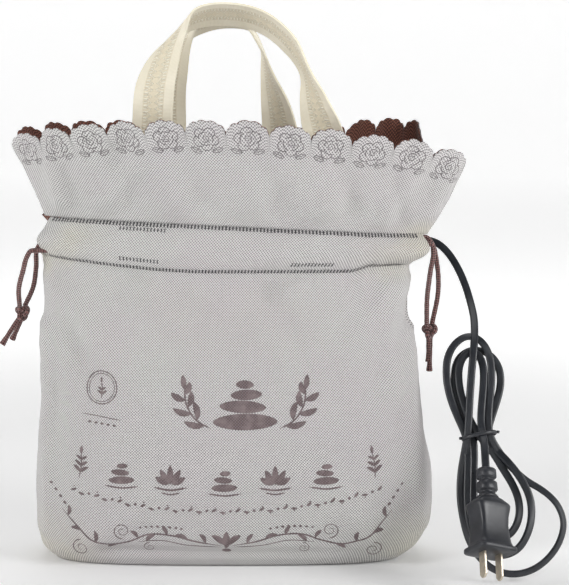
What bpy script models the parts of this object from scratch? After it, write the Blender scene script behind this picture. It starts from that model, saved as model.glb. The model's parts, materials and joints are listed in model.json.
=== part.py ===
"""Hot stone heater: an electrically heated drawstring bag with a mains lead.

Metres, +Z up. The bag stands on z = 0 with its front towards -Y, and the
origin is the middle of the face it rests on.
"""
import math

import bmesh
import bpy
import numpy as np
from mathutils import Matrix, Vector

# ---------------------------------------------------------------- dimensions
GAP = 0.0003                      # clearance between touching pieces

# The bag's outer form: height, centre x, half width, half depth.
BODY_SECTIONS = (
    (0.000, -0.005, 0.120, 0.034),
    (0.007, -0.004, 0.128, 0.040),
    (0.020, -0.002, 0.134, 0.045),
    (0.045, -0.001, 0.137, 0.049),
    (0.095, -0.003, 0.131, 0.048),
    (0.150, -0.005, 0.126, 0.043),
    (0.185, -0.006, 0.124, 0.038),
    (0.201, -0.005, 0.124, 0.035),
    (0.216, -0.001, 0.133, 0.036),
    (0.240, 0.001, 0.133, 0.030),
)
SECTION_POWER = 3.2               # superellipse exponent: a box with round corners
GUSSET_SHARE = 0.068              # half a gusset, as a share of the way round
LOWER_WELD_Z = 0.201              # weld row under the drawstring casing
UPPER_WELD_Z = 0.2322             # weld row over it, at x = 0
UPPER_WELD_SLOPE = -0.048         # the upper row drops towards +X

CLOTH = 0.0009                    # outer non-woven
LINING = 0.0008                   # brown non-woven
FELT = 0.0040                     # insulating felt
CARRIER = 0.0008                  # glass-cloth heater carrier
WIRE_RADIUS = 0.0010              # silicone heating wire
FELT_DEPTH = CLOTH + GAP          # how deep each layer's outer face lies
CARRIER_DEPTH = FELT_DEPTH + FELT + GAP
WIRE_DEPTH = CARRIER_DEPTH + CARRIER + 3 * GAP + WIRE_RADIUS
LINING_DEPTH = WIRE_DEPTH + WIRE_RADIUS + 2 * GAP
HEIGHTS = (0.012, 0.022, 0.042, 0.070, 0.105, 0.140, 0.168, 0.190)
FELT_TOP = HEIGHTS[-1]            # every layer has its rows at these heights
NECK_HALF_DEPTH = 0.020           # outer face of the lining behind the casing

SCALLOPS = 12                     # bumps along each collar flap
SCALLOP_HEIGHT = 0.008
FLAP_EDGES = {                      # each flap's upper edge: (place across, x, y, height)
    "front": ((-1.0, -0.151, -0.008, 0.290), (-0.75, -0.121, -0.031, 0.296), (-0.5, -0.084, -0.043, 0.300),
              (-0.25, -0.045, -0.050, 0.302), (0.0, -0.0045, -0.052, 0.302), (0.25, 0.039, -0.050, 0.2985),
              (0.5, 0.080, -0.043, 0.294), (0.75, 0.1225, -0.031, 0.288), (1.0, 0.161, -0.008, 0.277)),
    "back": ((-1.0, -0.151, 0.008, 0.294), (-0.75, -0.127, 0.027, 0.2975), (-0.5, -0.094, 0.038, 0.2985),
             (-0.1, -0.020, 0.047, 0.2930), (0.1, 0.018, 0.047, 0.2920), (0.4, 0.065, 0.042, 0.2955),
             (0.65, 0.097, 0.031, 0.300), (0.85, 0.119, 0.019, 0.3005), (1.0, 0.129, 0.008, 0.298)),
}

STRAP_WIDTH = 0.027
STRAP = 0.0016
HANDLE_HINGE_Z = 0.2360
HANDLE_ROOT_Y = 0.0270            # half the distance between the two straps' roots

CORD_RADIUS = 0.0017              # drawstring
RUN_Y = 0.0220                    # drawstring runs, front and back of the neck
RUN_Z = 0.2150
PULL_HINGE_X = (-0.1350, 0.1320)  # where the left and right pulls hang from

LEAD_RADIUS = 0.00265             # mains lead

PART = bpy.data.collections.new("hot_stone_heater")
CUTTERS = bpy.data.collections.new("cutters")


# ------------------------------------------------------------------- helpers
def clear_scene():
    for item in list(bpy.data.objects):
        bpy.data.objects.remove(item)


def material(name, colour, roughness, metallic=0.0):
    made = bpy.data.materials.new(name)
    made.use_nodes = True
    shader = made.node_tree.nodes["Principled BSDF"]
    shader.inputs["Base Color"].default_value = (*colour, 1.0)
    shader.inputs["Roughness"].default_value = roughness
    shader.inputs["Metallic"].default_value = metallic
    return made


def add_object(name, data, finish, collection=None):
    made = bpy.data.objects.new(name, data)
    (collection or PART).objects.link(made)
    data.materials.append(finish)
    return made


def smooth(item, angle=40):
    item.data.shade_smooth()
    item.data.set_sharp_from_angle(angle=math.radians(angle))
    return item


def solidify(item, thickness):
    """Thicken a surface away from its normals."""
    shell = item.modifiers.new("thickness", "SOLIDIFY")
    shell.thickness = thickness
    shell.offset = -1.0
    shell.use_even_offset = True
    return item


def steps(count):
    return np.linspace(0.0, 1.0, count + 1)


def surface(name, us, vs, place, thickness, finish):
    """A grid with a column at each u and a row at each v, its points at place(u, v)."""
    grid = bmesh.new()
    columns, rows = len(us) - 1, len(vs) - 1
    bmesh.ops.create_grid(grid, x_segments=columns, y_segments=rows, size=0.5)
    for vert in grid.verts:
        vert.co = place(us[round((vert.co.x + 0.5) * columns)], vs[round((vert.co.y + 0.5) * rows)])
    mesh = bpy.data.meshes.new(name)
    grid.to_mesh(mesh)
    grid.free()
    made = add_object(name, mesh, finish)
    return solidify(smooth(made), thickness)


def hermite(stations, values, at):
    """Smooth curve through values at stations, with finite-difference slopes."""
    stations = np.asarray(stations, float)
    values = np.asarray(values, float)
    slopes = np.gradient(values, stations, axis=0)
    at = min(max(at, stations[0]), stations[-1])
    i = min(int(np.searchsorted(stations, at, side="right")) - 1, len(stations) - 2)
    i = max(i, 0)
    step = stations[i + 1] - stations[i]
    t = (at - stations[i]) / step
    return ((2 * t**3 - 3 * t**2 + 1) * values[i] + (t**3 - 2 * t**2 + t) * step * slopes[i]
            + (3 * t**2 - 2 * t**3) * values[i + 1] + (t**3 - t**2) * step * slopes[i + 1])


def smooth_route(points, spacing):
    """Points every `spacing` along one smooth curve through the given points."""
    points = np.asarray(points, float)
    chords = np.linalg.norm(np.diff(points, axis=0), axis=1)
    stations = np.concatenate([[0.0], np.cumsum(chords)])
    count = max(2, round(stations[-1] / spacing))
    return [Vector(hermite(stations, points, s)) for s in np.linspace(0, stations[-1], count + 1)]


def tube(name, points, radius, finish, resolution=2, collection=None):
    curve = bpy.data.curves.new(name, "CURVE")
    curve.dimensions = "3D"
    curve.bevel_depth = radius
    curve.bevel_resolution = resolution
    curve.use_fill_caps = True
    spline = curve.splines.new("POLY")
    spline.points.add(len(points) - 1)
    for point, place in zip(spline.points, points):
        point.co = (*place, 1.0)
    return add_object(name, curve, finish, collection)


def flat_plate(name, outline, thickness, finish, matrix):
    """A flat outline extruded to a thickness about its own plane, then placed."""
    curve = bpy.data.curves.new(name, "CURVE")
    curve.dimensions = "2D"
    curve.fill_mode = "BOTH"
    curve.extrude = thickness / 2
    spline = curve.splines.new("POLY")
    spline.points.add(len(outline) - 1)
    for point, place in zip(spline.points, outline):
        point.co = (place[0], place[1], 0.0, 1.0)
    spline.use_cyclic_u = True
    made = add_object(name, curve, finish)
    made.matrix_world = matrix
    return made


def as_mesh(item):
    """Swap a curve object for a mesh one with welded caps."""
    bpy.context.view_layer.update()
    shape = item.evaluated_get(bpy.context.evaluated_depsgraph_get())
    mesh = bpy.data.meshes.new_from_object(shape)
    weld = bmesh.new()
    weld.from_mesh(mesh)
    bmesh.ops.remove_doubles(weld, verts=weld.verts, dist=0.00001)
    weld.to_mesh(mesh)
    weld.free()
    made = bpy.data.objects.new(item.name + "_mesh", mesh)
    made.matrix_world = item.matrix_world.copy()
    for holder in item.users_collection:
        holder.objects.link(made)
    name = item.name
    bpy.data.objects.remove(item)
    made.name = name
    return made


def boolean(item, other, operation):
    """Cut or join with a helper solid, which stays hidden in the cutters."""
    step = item.modifiers.new(operation.lower(), "BOOLEAN")
    step.operation = operation
    step.object = other
    other.hide_render = True
    other.display_type = "WIRE"
    return item


def bead(name, centre, radii, finish, collection=None, segments=12):
    """An egg-shaped solid."""
    ball = bmesh.new()
    bmesh.ops.create_uvsphere(ball, u_segments=segments, v_segments=segments // 2 + 1, radius=1.0)
    bmesh.ops.scale(ball, vec=radii, verts=ball.verts)
    bmesh.ops.translate(ball, vec=centre, verts=ball.verts)
    mesh = bpy.data.meshes.new(name)
    ball.to_mesh(mesh)
    ball.free()
    return smooth(add_object(name, mesh, finish, collection))


def rod(name, centre, axis, length, radius, finish, tip_radius=None, sides=16):
    """A cylinder or cone whose middle is at centre; tip_radius is at the +axis end."""
    solid = bmesh.new()
    bmesh.ops.create_cone(solid, cap_ends=True, segments=sides, radius1=radius,
                          radius2=radius if tip_radius is None else tip_radius, depth=length)
    turn = Vector((0, 0, 1)).rotation_difference(Vector(axis)).to_matrix().to_4x4()
    solid.transform(Matrix.Translation(centre) @ turn)
    mesh = bpy.data.meshes.new(name)
    solid.to_mesh(mesh)
    solid.free()
    return smooth(add_object(name, mesh, finish))


def block(name, size, matrix, finish, bevel=0.0):
    solid = bmesh.new()
    bmesh.ops.create_cube(solid, size=1.0)
    bmesh.ops.scale(solid, vec=size, verts=solid.verts)
    solid.transform(matrix)
    mesh = bpy.data.meshes.new(name)
    solid.to_mesh(mesh)
    solid.free()
    made = smooth(add_object(name, mesh, finish))
    if bevel:
        edge = made.modifiers.new("edges", "BEVEL")
        edge.width = bevel
        edge.segments = 2
    return made


# -------------------------------------------------------------- the bag's form
SECTION_CACHE = {}


def section(z):
    """The outer outline at height z as (cumulative length share, points)."""
    key = round(z, 6)
    if key not in SECTION_CACHE:
        table = np.array(BODY_SECTIONS)
        centre, half_width, half_depth = hermite(table[:, 0], table[:, 1:], z)
        power = 2.0 / SECTION_POWER
        angles = np.linspace(math.pi, 3 * math.pi, 721)
        x = centre + half_width * np.sign(np.cos(angles)) * np.abs(np.cos(angles)) ** power
        y = half_depth * np.sign(np.sin(angles)) * np.abs(np.sin(angles)) ** power
        along = np.concatenate([[0.0], np.cumsum(np.hypot(np.diff(x), np.diff(y)))])
        SECTION_CACHE[key] = (along / along[-1], x, y)
    return SECTION_CACHE[key]


def skin(t, z):
    """A point of the outer form: t runs left, front, right, back from 0 to 1."""
    share, x, y = section(z)
    t = t % 1.0
    return Vector((np.interp(t, share, x), np.interp(t, share, y), z))


def layer(t, z, depth):
    """The point `depth` under the outer form, along its normal."""
    step_t, step_z = 0.004, 0.001
    round_it = skin(t + step_t, z) - skin(t - step_t, z)
    up_it = skin(t, z + step_z) - skin(t, max(z - step_z, 0.0))
    normal = round_it.cross(up_it).normalized()
    return skin(t, z) - normal * depth


def upper_weld(x):
    return UPPER_WELD_Z + UPPER_WELD_SLOPE * x


# Where each piece starts and ends on the way round, from 0 at the left side.
CASING_SPANS = {"front": (0.052, 0.448), "back": (0.552, 0.948)}
FLAP_SPANS = {"front": (0.026, 0.474), "back": (0.526, 0.974)}
PANELS = {
    "front": (GUSSET_SHARE, 0.5 - GUSSET_SHARE),
    "right": (0.5 - GUSSET_SHARE, 0.5 + GUSSET_SHARE),
    "back": (0.5 + GUSSET_SHARE, 1.0 - GUSSET_SHARE),
    "left": (1.0 - GUSSET_SHARE, 1.0 + GUSSET_SHARE),
}


def columns_of(side, seam):
    """The shares of the way round at a panel's columns, with a clearance at its seams."""
    start, end = PANELS[side]
    if side in ("front", "back"):
        even = steps(14)
        shares = even - 0.6 * np.sin(2 * math.pi * even) / (2 * math.pi)
    else:
        shares = steps(8)
    columns = list(start + (end - start) * shares)
    return [start + seam] + columns[1:-1] + [end - seam]


def wall(name, side, heights, depth, thickness, seam, finish):
    """One panel of a layer."""
    def place(t, z):
        return layer(t, z, depth)

    return surface(name, columns_of(side, seam), heights, place, thickness, finish)


def outline_inside(z, inset, count=40):
    """The outline at height z, drawn in by a clearance, as (x, y) pairs."""
    points = []
    for i in range(count):
        point = layer(i / count, z, 0.0)
        inward = layer(i / count, z, inset)
        shrink = Vector((inward.x - point.x, inward.y - point.y)).normalized() * inset
        points.append((point.x + shrink.x, point.y + shrink.y))
    return points


# --------------------------------------------------------------------- pieces
def outer_shell(cloth):
    for side in PANELS:
        name = f"{side}_panel" if side in ("front", "back") else f"{side}_gusset"
        wall(name, side, (0.0, 0.005) + HEIGHTS + (LOWER_WELD_Z - GAP,), 0.0, CLOTH, 0.0005, cloth)
    outline = outline_inside(0.0, 0.0032)
    flat_plate("base_panel", outline, CLOTH, cloth, Matrix.Translation((0, 0, CLOTH / 2)))


def casing(name, side, cloth):
    """The outer wall of the drawstring tunnel; its ends are open at the sides."""
    start, end = CASING_SPANS[side]

    def place(u, v):
        t = start + (end - start) * u
        flat = skin(t, LOWER_WELD_Z)
        high = upper_weld(flat.x) - GAP
        low = LOWER_WELD_Z + GAP
        return skin(t, low + (high - low) * v)

    surface(name, steps(16), steps(4), place, CLOTH, cloth)


def insulation(felt):
    for side in PANELS:
        wall(f"{side}_insulation", side, HEIGHTS, FELT_DEPTH, FELT, 0.0032, felt)
    outline = outline_inside(0.007, 0.0130)
    base = Matrix.Translation((0, 0, CLOTH + GAP + FELT / 2))
    flat_plate("base_insulation", outline, FELT, felt, base)


def base_stiffener(board):
    thickness = 0.0015
    low = CLOTH + GAP + FELT + GAP
    outline = outline_inside(0.007, 0.0145)
    flat_plate("base_board", outline, thickness, board, Matrix.Translation((0, 0, low + thickness / 2)))
    return low + thickness


def lining(brown, board_top):
    """The inner bag; it narrows behind the drawstring casing."""
    low = board_top + GAP
    outline = outline_inside(0.012, 0.0175)
    flat_plate("base_lining", outline, LINING, brown, Matrix.Translation((0, 0, low + LINING / 2)))
    heights = HEIGHTS + (0.203, 0.226)
    body_half_depth = -layer(0.25, FELT_TOP, LINING_DEPTH).y

    def place(t, z):
        if z <= FELT_TOP:
            return layer(t, z, LINING_DEPTH)
        point = layer(t, FELT_TOP, LINING_DEPTH)
        return Vector((point.x, point.y * NECK_HALF_DEPTH / body_half_depth, z))

    for side in PANELS:
        surface(f"{side}_lining", columns_of(side, 0.0013), heights, place, LINING, brown)


def heater(side, cloth, silicone):
    """A heating wire laid in lanes on its carrier cloth, one for each big wall."""
    columns = columns_of(side, 0.0)[2:-2]

    def place(t, z):
        return layer(t, z, CARRIER_DEPTH)

    surface(f"{side}_heater_carrier", columns, HEIGHTS[1:-1], place, CARRIER, cloth)
    route = []
    for lane, z in enumerate(HEIGHTS[2:-2]):
        across = columns[1:-1] if lane % 2 == 0 else columns[-2:0:-1]
        route += [layer(t, z, WIRE_DEPTH) for t in across]
    tube(f"{side}_heating_wire", route, WIRE_RADIUS, silicone, resolution=1)


def controls(metal, sleeve):
    """Thermostat, thermal fuse and lead splice, in the space behind the neck."""
    y, z = 0.0285, 0.2060
    rod("thermostat", (0.012, y, z), (0, 1, 0), 0.0045, 0.0055, metal)
    rod("thermal_fuse", (-0.018, y, z), (1, 0, 0), 0.0115, 0.0020, metal, sides=12)
    rod("lead_splice", (0.052, y, z), (1, 0, 0), 0.0220, 0.0022, sleeve, sides=12)


def flap(side, u, v, dip):
    """A point of a collar flap: u from left to right, v from weld row to edge."""
    start, end = FLAP_SPANS[side]
    t = start + (end - start) * (u if side == "front" else 1 - u)
    foot = skin(t, UPPER_WELD_Z)
    foot = Vector((foot.x, foot.y, upper_weld(foot.x) + GAP))
    table = np.array(FLAP_EDGES[side])
    edge = Vector(hermite(table[:, 0], table[:, 1:], 2 * u - 1)) - Vector((0, 0, dip))
    return foot.lerp(edge, v)


def flap_layer(side, u, v, depth):
    """A point of the scalloped flap, `depth` under its outer face."""
    inner_u, inner_v = min(max(u, 0.01), 0.99), min(max(v, 0.01), 0.99)
    along = flap(side, inner_u + 0.01, inner_v, 0.0) - flap(side, inner_u - 0.01, inner_v, 0.0)
    up = flap(side, inner_u, inner_v + 0.01, 0.0) - flap(side, inner_u, inner_v - 0.01, 0.0)
    normal = along.cross(up).normalized() * (1 if side == "front" else -1)
    lobe = (u * SCALLOPS) % 1.0
    dip = SCALLOP_HEIGHT * (1 - math.sqrt(max(0.0, 1 - (2 * lobe - 1) ** 2)))
    return flap(side, u, v, dip) - normal * depth


def collar(side, cloth, brown):
    """One flap: outer cloth and its lining, cut together with a scalloped edge."""
    for name, depth, thickness, finish in (
        (f"{side}_collar", 0.0, CLOTH, cloth),
        (f"{side}_collar_lining", CLOTH + GAP, LINING, brown),
    ):
        def place(u, v):
            return flap_layer(side, u if side == "front" else 1 - u, v, depth)

        surface(name, steps(SCALLOPS * 4), steps(3), place, thickness, finish)


def strap(name, route, finish):
    """Webbing along a route of (place, direction across the webbing)."""
    places = np.array([p for p, _ in route])
    across = np.array([Vector(w).normalized() for _, w in route])
    chords = np.linalg.norm(np.diff(places, axis=0), axis=1)
    stations = np.concatenate([[0.0], np.cumsum(chords)])

    def place(u, v):
        at = stations[-1] * v
        side = Vector(hermite(stations, across, at)).normalized()
        return Vector(hermite(stations, places, at)) + side * STRAP_WIDTH * (u - 0.5)

    return surface(name, steps(1), steps(36), place, STRAP, finish)


def handles(webbing):
    """Two carrying loops; the webbing turns from facing front to facing up."""
    low = HANDLE_HINGE_Z + 0.0015
    y = HANDLE_ROOT_Y
    front = [
        ((-0.0550, -y, low), (1, 0, 0)),
        ((-0.0535, -y, 0.300), (1, 0, 0)),
        ((-0.0505, -y + 0.002, 0.330), (1, 0, 0.15)),
        ((-0.0405, -y + 0.004, 0.354), (0.8, -0.35, 0.5)),
        ((-0.0265, -y + 0.006, 0.3685), (0.2, -0.9, 0.45)),
        ((-0.0040, -y + 0.007, 0.3730), (0.0, -0.9, 0.35)),
        ((0.0180, -y + 0.007, 0.3690), (-0.1, -0.9, 0.30)),
        ((0.0370, -y + 0.006, 0.3540), (-0.1, -0.95, 0.10)),
        ((0.0480, -y + 0.005, 0.3330), (0.1, -1, 0)),
        ((0.0545, -y + 0.003, 0.3130), (0.75, -0.65, 0)),
        ((0.0600, -y + 0.001, 0.2940), (1, 0, 0)),
        ((0.0620, -y, low), (1, 0, 0)),
    ]
    back = [
        ((-0.0430, y, low), (1, 0, 0)),
        ((-0.0430, y, 0.296), (1, 0, 0)),
        ((-0.0410, y - 0.002, 0.325), (1, 0, 0.15)),
        ((-0.0330, y - 0.004, 0.347), (0.8, -0.35, 0.5)),
        ((-0.0190, y - 0.006, 0.3600), (0.2, -0.9, 0.40)),
        ((-0.0020, y - 0.007, 0.3630), (0.0, -0.95, 0.25)),
        ((0.0100, y - 0.007, 0.3595), (-0.1, -0.95, 0.10)),
        ((0.0185, y - 0.006, 0.3480), (0.0, -1, 0)),
        ((0.0235, y - 0.004, 0.3300), (0.35, -0.94, 0)),
        ((0.0280, y - 0.002, 0.3100), (0.75, -0.66, 0)),
        ((0.0310, y, 0.2920), (0.9, -0.4, 0)),
        ((0.0320, y, low), (1, 0, 0)),
    ]
    strap("front_handle", front, webbing)
    strap("back_handle", back, webbing)
    ends = (("front", -y, -0.0550, 0.0620), ("back", y, -0.0430, 0.0320))
    for side, place_y, left, right in ends:
        for hand, x in (("left", left), ("right", right)):
            height = 0.0150
            middle = Matrix.Translation((x, place_y, HANDLE_HINGE_Z - 0.0015 - height / 2))
            block(f"{side}_handle_{hand}_end", (STRAP_WIDTH, STRAP, height), middle, webbing)


def drawstring_runs(cord):
    """The stretches of each drawstring that slide inside the casing."""
    spans = {"left": (PULL_HINGE_X[0] + 0.0022, -0.008), "right": (0.0, PULL_HINGE_X[1] - 0.0022)}
    for hand, (start, end) in spans.items():
        for side, sign in (("front", -1), ("back", 1)):
            height = RUN_Z + (0.0 if hand == "left" else 0.0045)
            points = [(x, sign * RUN_Y, height) for x in np.linspace(start, end, 3)]
            tube(f"{hand}_casing_cord_{side}", points, CORD_RADIUS, cord, resolution=1)


def pulls(cord):
    """The free ends of each drawstring: two strands, their knot and two tails."""
    left, right = PULL_HINGE_X
    right_z = RUN_Z + 0.0045
    strands = {
        "left_strand_front": [(left - 0.0004, -RUN_Y, RUN_Z), (-0.1385, -0.0215, 0.2125),
                              (-0.1425, -0.0180, 0.2010), (-0.1470, -0.0100, 0.1865),
                              (-0.1475, -0.0045, 0.1770)],
        "left_strand_back": [(left - 0.0004, RUN_Y, RUN_Z), (-0.1385, 0.0215, 0.2120),
                             (-0.1390, 0.0200, 0.1990), (-0.1400, 0.0130, 0.1860),
                             (-0.1440, 0.0040, 0.1765)],
        "right_strand_front": [(right + 0.0004, -RUN_Y, right_z), (0.1350, -0.0210, 0.2150),
                               (0.1340, -0.0160, 0.2000), (0.1325, -0.0060, 0.1800),
                               (0.1305, 0.0010, 0.1640)],
        "right_strand_back": [(right + 0.0004, RUN_Y, right_z), (0.1358, 0.0215, 0.2160),
                              (0.1385, 0.0190, 0.2000), (0.1390, 0.0130, 0.1830),
                              (0.1350, 0.0070, 0.1640)],
    }
    for name, points in strands.items():
        tube(name, smooth_route(points, 0.0055), CORD_RADIUS, cord)
    knots = {
        "left_knot": ((-0.1462, 0.0000, 0.1695), (0.0045, 0.0045, 0.0052),
                      [[(-0.1470, -0.0010, 0.1680), (-0.1530, -0.0030, 0.1590), (-0.1600, -0.0050, 0.1480)],
                       [(-0.1460, 0.0010, 0.1680), (-0.1500, 0.0035, 0.1590), (-0.1545, 0.0055, 0.1500)]]),
        "right_knot": ((0.1325, 0.0050, 0.1560), (0.0050, 0.0050, 0.0060),
                       [[(0.1315, 0.0040, 0.1540), (0.1310, 0.0020, 0.1450), (0.1340, 0.0000, 0.1350)],
                        [(0.1330, 0.0060, 0.1540), (0.1330, 0.0090, 0.1420), (0.1360, 0.0110, 0.1260)]]),
    }
    for name, (centre, radii, tails) in knots.items():
        knot = bead(name, centre, radii, cord)
        for number, points in enumerate(tails):
            tail = tube(f"{name}_tail_{number}", smooth_route(points, 0.006), CORD_RADIUS * 0.95, cord,
                        collection=CUTTERS)
            boolean(knot, as_mesh(tail), "UNION")


# The lead's free stretch, from the strain relief to the top of its hank.
LEAD_ROUTE = (
    (0.1345, 0.0385, 0.2155), (0.1372, 0.0385, 0.2153), (0.1412, 0.0378, 0.2137), (0.1475, 0.0350, 0.2085),
    (0.1540, 0.0290, 0.1990), (0.1600, 0.0200, 0.1865), (0.1635, 0.0090, 0.1740), (0.1645, -0.0020, 0.1655),
    (0.1640, -0.0090, 0.1600),
)
# From the hank's tie to the plug.
TAIL_ROUTE = (
    (0.1665, -0.0568, 0.0880), (0.1667, -0.0600, 0.0838), (0.1668, -0.0633, 0.0796), (0.1668, -0.0665, 0.0755),
)
HANK_TOP = (0.1640, -0.0130, 0.1545)    # middle of the hank's upper end
HANK_LEAN = 0.45                        # how far it leans back per metre up
HANK_THICKNESS = 0.0130
PLUG_TILT = math.radians(35)            # the plug's pins point forward and down
PLUG_SPIN = math.radians(30)            # turned about its own length
PLUG_RELIEF = 0.0210
PLUG_BODY = 0.0370
PLUG_DEPTH = 0.0190
BLADE = (0.0015, 0.0170, 0.0063)
BLADE_SPACING = 0.0127


def hank_frame():
    """Axes of the leaning hank: origin at its top, x to the right, y up it, z to the front."""
    up = Vector((0, HANK_LEAN, 1)).normalized()
    right = Vector((1, 0, 0))
    turned = Matrix((right, up, right.cross(up))).transposed().to_4x4()
    return Matrix.Translation(HANK_TOP) @ turned


def plug_frame():
    """Axes of the plug: origin where the lead enters it, y up along it, z out of its broad face."""
    up = Vector((0, math.sin(PLUG_TILT), math.cos(PLUG_TILT)))
    right = Vector((1, 0, 0))
    turned = Matrix((right, up, right.cross(up))).transposed().to_4x4()
    start = Vector(TAIL_ROUTE[-1]) - up * 3 * GAP
    return Matrix.Translation(start) @ turned @ Matrix.Rotation(PLUG_SPIN, 4, "Y")


def power_cord(rubber, tie_plastic, pin_metal):
    out = (Vector(LEAD_ROUTE[0]) - Vector((0.1080, 0.0385, 0.2170))).normalized()
    relief = 0.0240
    middle = Vector(LEAD_ROUTE[0]) - out * (relief / 2 + 2 * GAP)
    rod("lead_strain_relief", middle, out, relief, 0.0042, rubber, tip_radius=0.0032, sides=16)
    tube("power_lead", smooth_route(LEAD_ROUTE, 0.0062), LEAD_RADIUS, rubber, resolution=3)
    hank = [(-0.010, -0.0008), (-0.0185, -0.016), (-0.0205, -0.030), (-0.0170, -0.050), (-0.0105, -0.068),
            (-0.0125, -0.100), (-0.0105, -0.128), (-0.0040, -0.142), (0.0080, -0.156), (0.0250, -0.1605),
            (0.0420, -0.155), (0.0535, -0.142), (0.0560, -0.126), (0.0500, -0.110), (0.0360, -0.098),
            (0.0220, -0.086), (0.0130, -0.070), (0.0170, -0.045), (0.0170, -0.024), (0.0120, -0.010),
            (0.0040, -0.0008)]
    flat_plate("lead_hank", hank, HANK_THICKNESS, rubber, hank_frame())
    tube("power_lead_tail", smooth_route(TAIL_ROUTE, 0.0060), LEAD_RADIUS, rubber, resolution=2)

    place = plug_frame()
    axis = place.to_3x3() @ Vector((0, -1, 0))
    rod("plug_strain_relief", place @ Vector((0, -PLUG_RELIEF / 2, 0)), axis, PLUG_RELIEF,
        0.0042, rubber, tip_radius=0.0066)
    top, low = -PLUG_RELIEF - GAP, -PLUG_RELIEF - GAP - PLUG_BODY
    half = [(0.0070, top), (0.0130, top - 0.005), (0.0108, top - 0.019), (0.0120, low + 0.005), (0.0142, low)]
    outline = half + [(-x, y) for x, y in reversed(half)]
    flat_plate("plug_body", outline, PLUG_DEPTH, rubber, place)
    for hand, x in (("left", -BLADE_SPACING / 2), ("right", BLADE_SPACING / 2)):
        blade = place @ Matrix.Translation((x, low - GAP - BLADE[1] / 2, 0))
        block(f"plug_blade_{hand}", BLADE, blade, pin_metal)

    # A twist tie round the waist of the hank, its ends left open at the side.
    turns = np.linspace(0, 2 * math.pi, 17)[:-1]
    waist = hank_frame() @ Matrix.Translation((0.0015, -0.069, 0))
    clasp = [waist @ Vector((0.0200 * math.cos(a), 0, 0.0120 * math.sin(a))) for a in turns]
    tube("cord_tie", clasp[1:] + clasp[:1], 0.0012, tie_plastic, resolution=1)


# ---------------------------------------------------------------------- build
def build():
    clear_scene()
    for group in (PART, CUTTERS):
        bpy.context.scene.collection.children.link(group)
    cloth = material("light_nonwoven", (0.76, 0.75, 0.73), 0.85)
    brown = material("brown_nonwoven", (0.10, 0.05, 0.04), 0.85)
    felt = material("insulating_felt", (0.80, 0.80, 0.78), 0.95)
    board = material("stiffener_board", (0.35, 0.30, 0.24), 0.80)
    carrier_cloth = material("carrier_cloth", (0.85, 0.84, 0.78), 0.80)
    silicone = material("silicone_wire", (0.70, 0.12, 0.08), 0.45)
    control_metal = material("control_metal", (0.75, 0.75, 0.73), 0.35, 1.0)
    sleeve = material("splice_sleeve", (0.85, 0.85, 0.82), 0.50)
    webbing = material("cream_webbing", (0.86, 0.82, 0.70), 0.75)
    cord = material("brown_cord", (0.16, 0.07, 0.06), 0.80)
    rubber = material("black_lead", (0.025, 0.028, 0.033), 0.45)
    tie_plastic = material("tie_plastic", (0.020, 0.022, 0.026), 0.35)
    pin_metal = material("plug_pins", (0.78, 0.74, 0.66), 0.30, 1.0)

    outer_shell(cloth)
    casing("front_casing", "front", cloth)
    casing("back_casing", "back", cloth)
    insulation(felt)
    lining(brown, base_stiffener(board))
    heater("front", carrier_cloth, silicone)
    heater("back", carrier_cloth, silicone)
    controls(control_metal, sleeve)
    collar("front", cloth, brown)
    collar("back", cloth, brown)
    handles(webbing)
    drawstring_runs(cord)
    pulls(cord)
    power_cord(rubber, tie_plastic, pin_metal)


build()
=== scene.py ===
"""Looks for the heating bag: cloth, prints, webbing, cords and materials round the CAD frame."""
import json
import math

import bmesh
import bpy
import numpy as np
from mathutils import Matrix, Vector, noise


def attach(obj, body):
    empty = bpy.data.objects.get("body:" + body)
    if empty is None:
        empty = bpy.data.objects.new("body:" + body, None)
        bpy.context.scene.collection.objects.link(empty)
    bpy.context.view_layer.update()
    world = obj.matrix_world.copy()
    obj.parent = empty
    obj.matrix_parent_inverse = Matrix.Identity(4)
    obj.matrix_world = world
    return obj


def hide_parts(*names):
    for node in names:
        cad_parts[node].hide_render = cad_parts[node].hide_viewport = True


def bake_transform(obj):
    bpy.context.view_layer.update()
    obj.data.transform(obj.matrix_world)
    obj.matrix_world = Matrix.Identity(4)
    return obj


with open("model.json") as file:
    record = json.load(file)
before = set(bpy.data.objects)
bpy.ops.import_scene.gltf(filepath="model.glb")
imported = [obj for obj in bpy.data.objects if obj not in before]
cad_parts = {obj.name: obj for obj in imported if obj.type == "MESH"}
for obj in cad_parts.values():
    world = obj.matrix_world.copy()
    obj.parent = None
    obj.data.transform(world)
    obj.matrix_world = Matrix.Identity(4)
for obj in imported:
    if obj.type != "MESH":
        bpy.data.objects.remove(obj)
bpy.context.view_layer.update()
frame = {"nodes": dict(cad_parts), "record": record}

# ------------------------------------------------------------ sizes, in metres
# The outer form, as (height, centre x, half width, half depth).
BODY_SECTIONS = np.array((
    (0.000, -0.005, 0.120, 0.034), (0.007, -0.004, 0.128, 0.040), (0.020, -0.002, 0.134, 0.045),
    (0.045, -0.001, 0.137, 0.049), (0.095, -0.003, 0.131, 0.048), (0.150, -0.005, 0.126, 0.043),
    (0.185, -0.006, 0.124, 0.038), (0.201, -0.005, 0.124, 0.035), (0.216, -0.001, 0.133, 0.036),
    (0.240, 0.001, 0.133, 0.030),
))
SECTION_SQUARENESS = 3.2
LOWER_WELD_Z = 0.201
UPPER_WELD_Z, UPPER_WELD_SLOPE = 0.2322, -0.048
CLOTH = 0.0006
BASE_CENTRE_X, BASE_Z = -0.005, 0.0006
LINING_FLOOR_Z = 0.0082
CASING_SPANS = {"front": (0.036, 0.464), "back": (0.536, 0.964)}
FLAP_SPANS = {"front": (0.026, 0.474), "back": (0.526, 0.974)}
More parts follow.
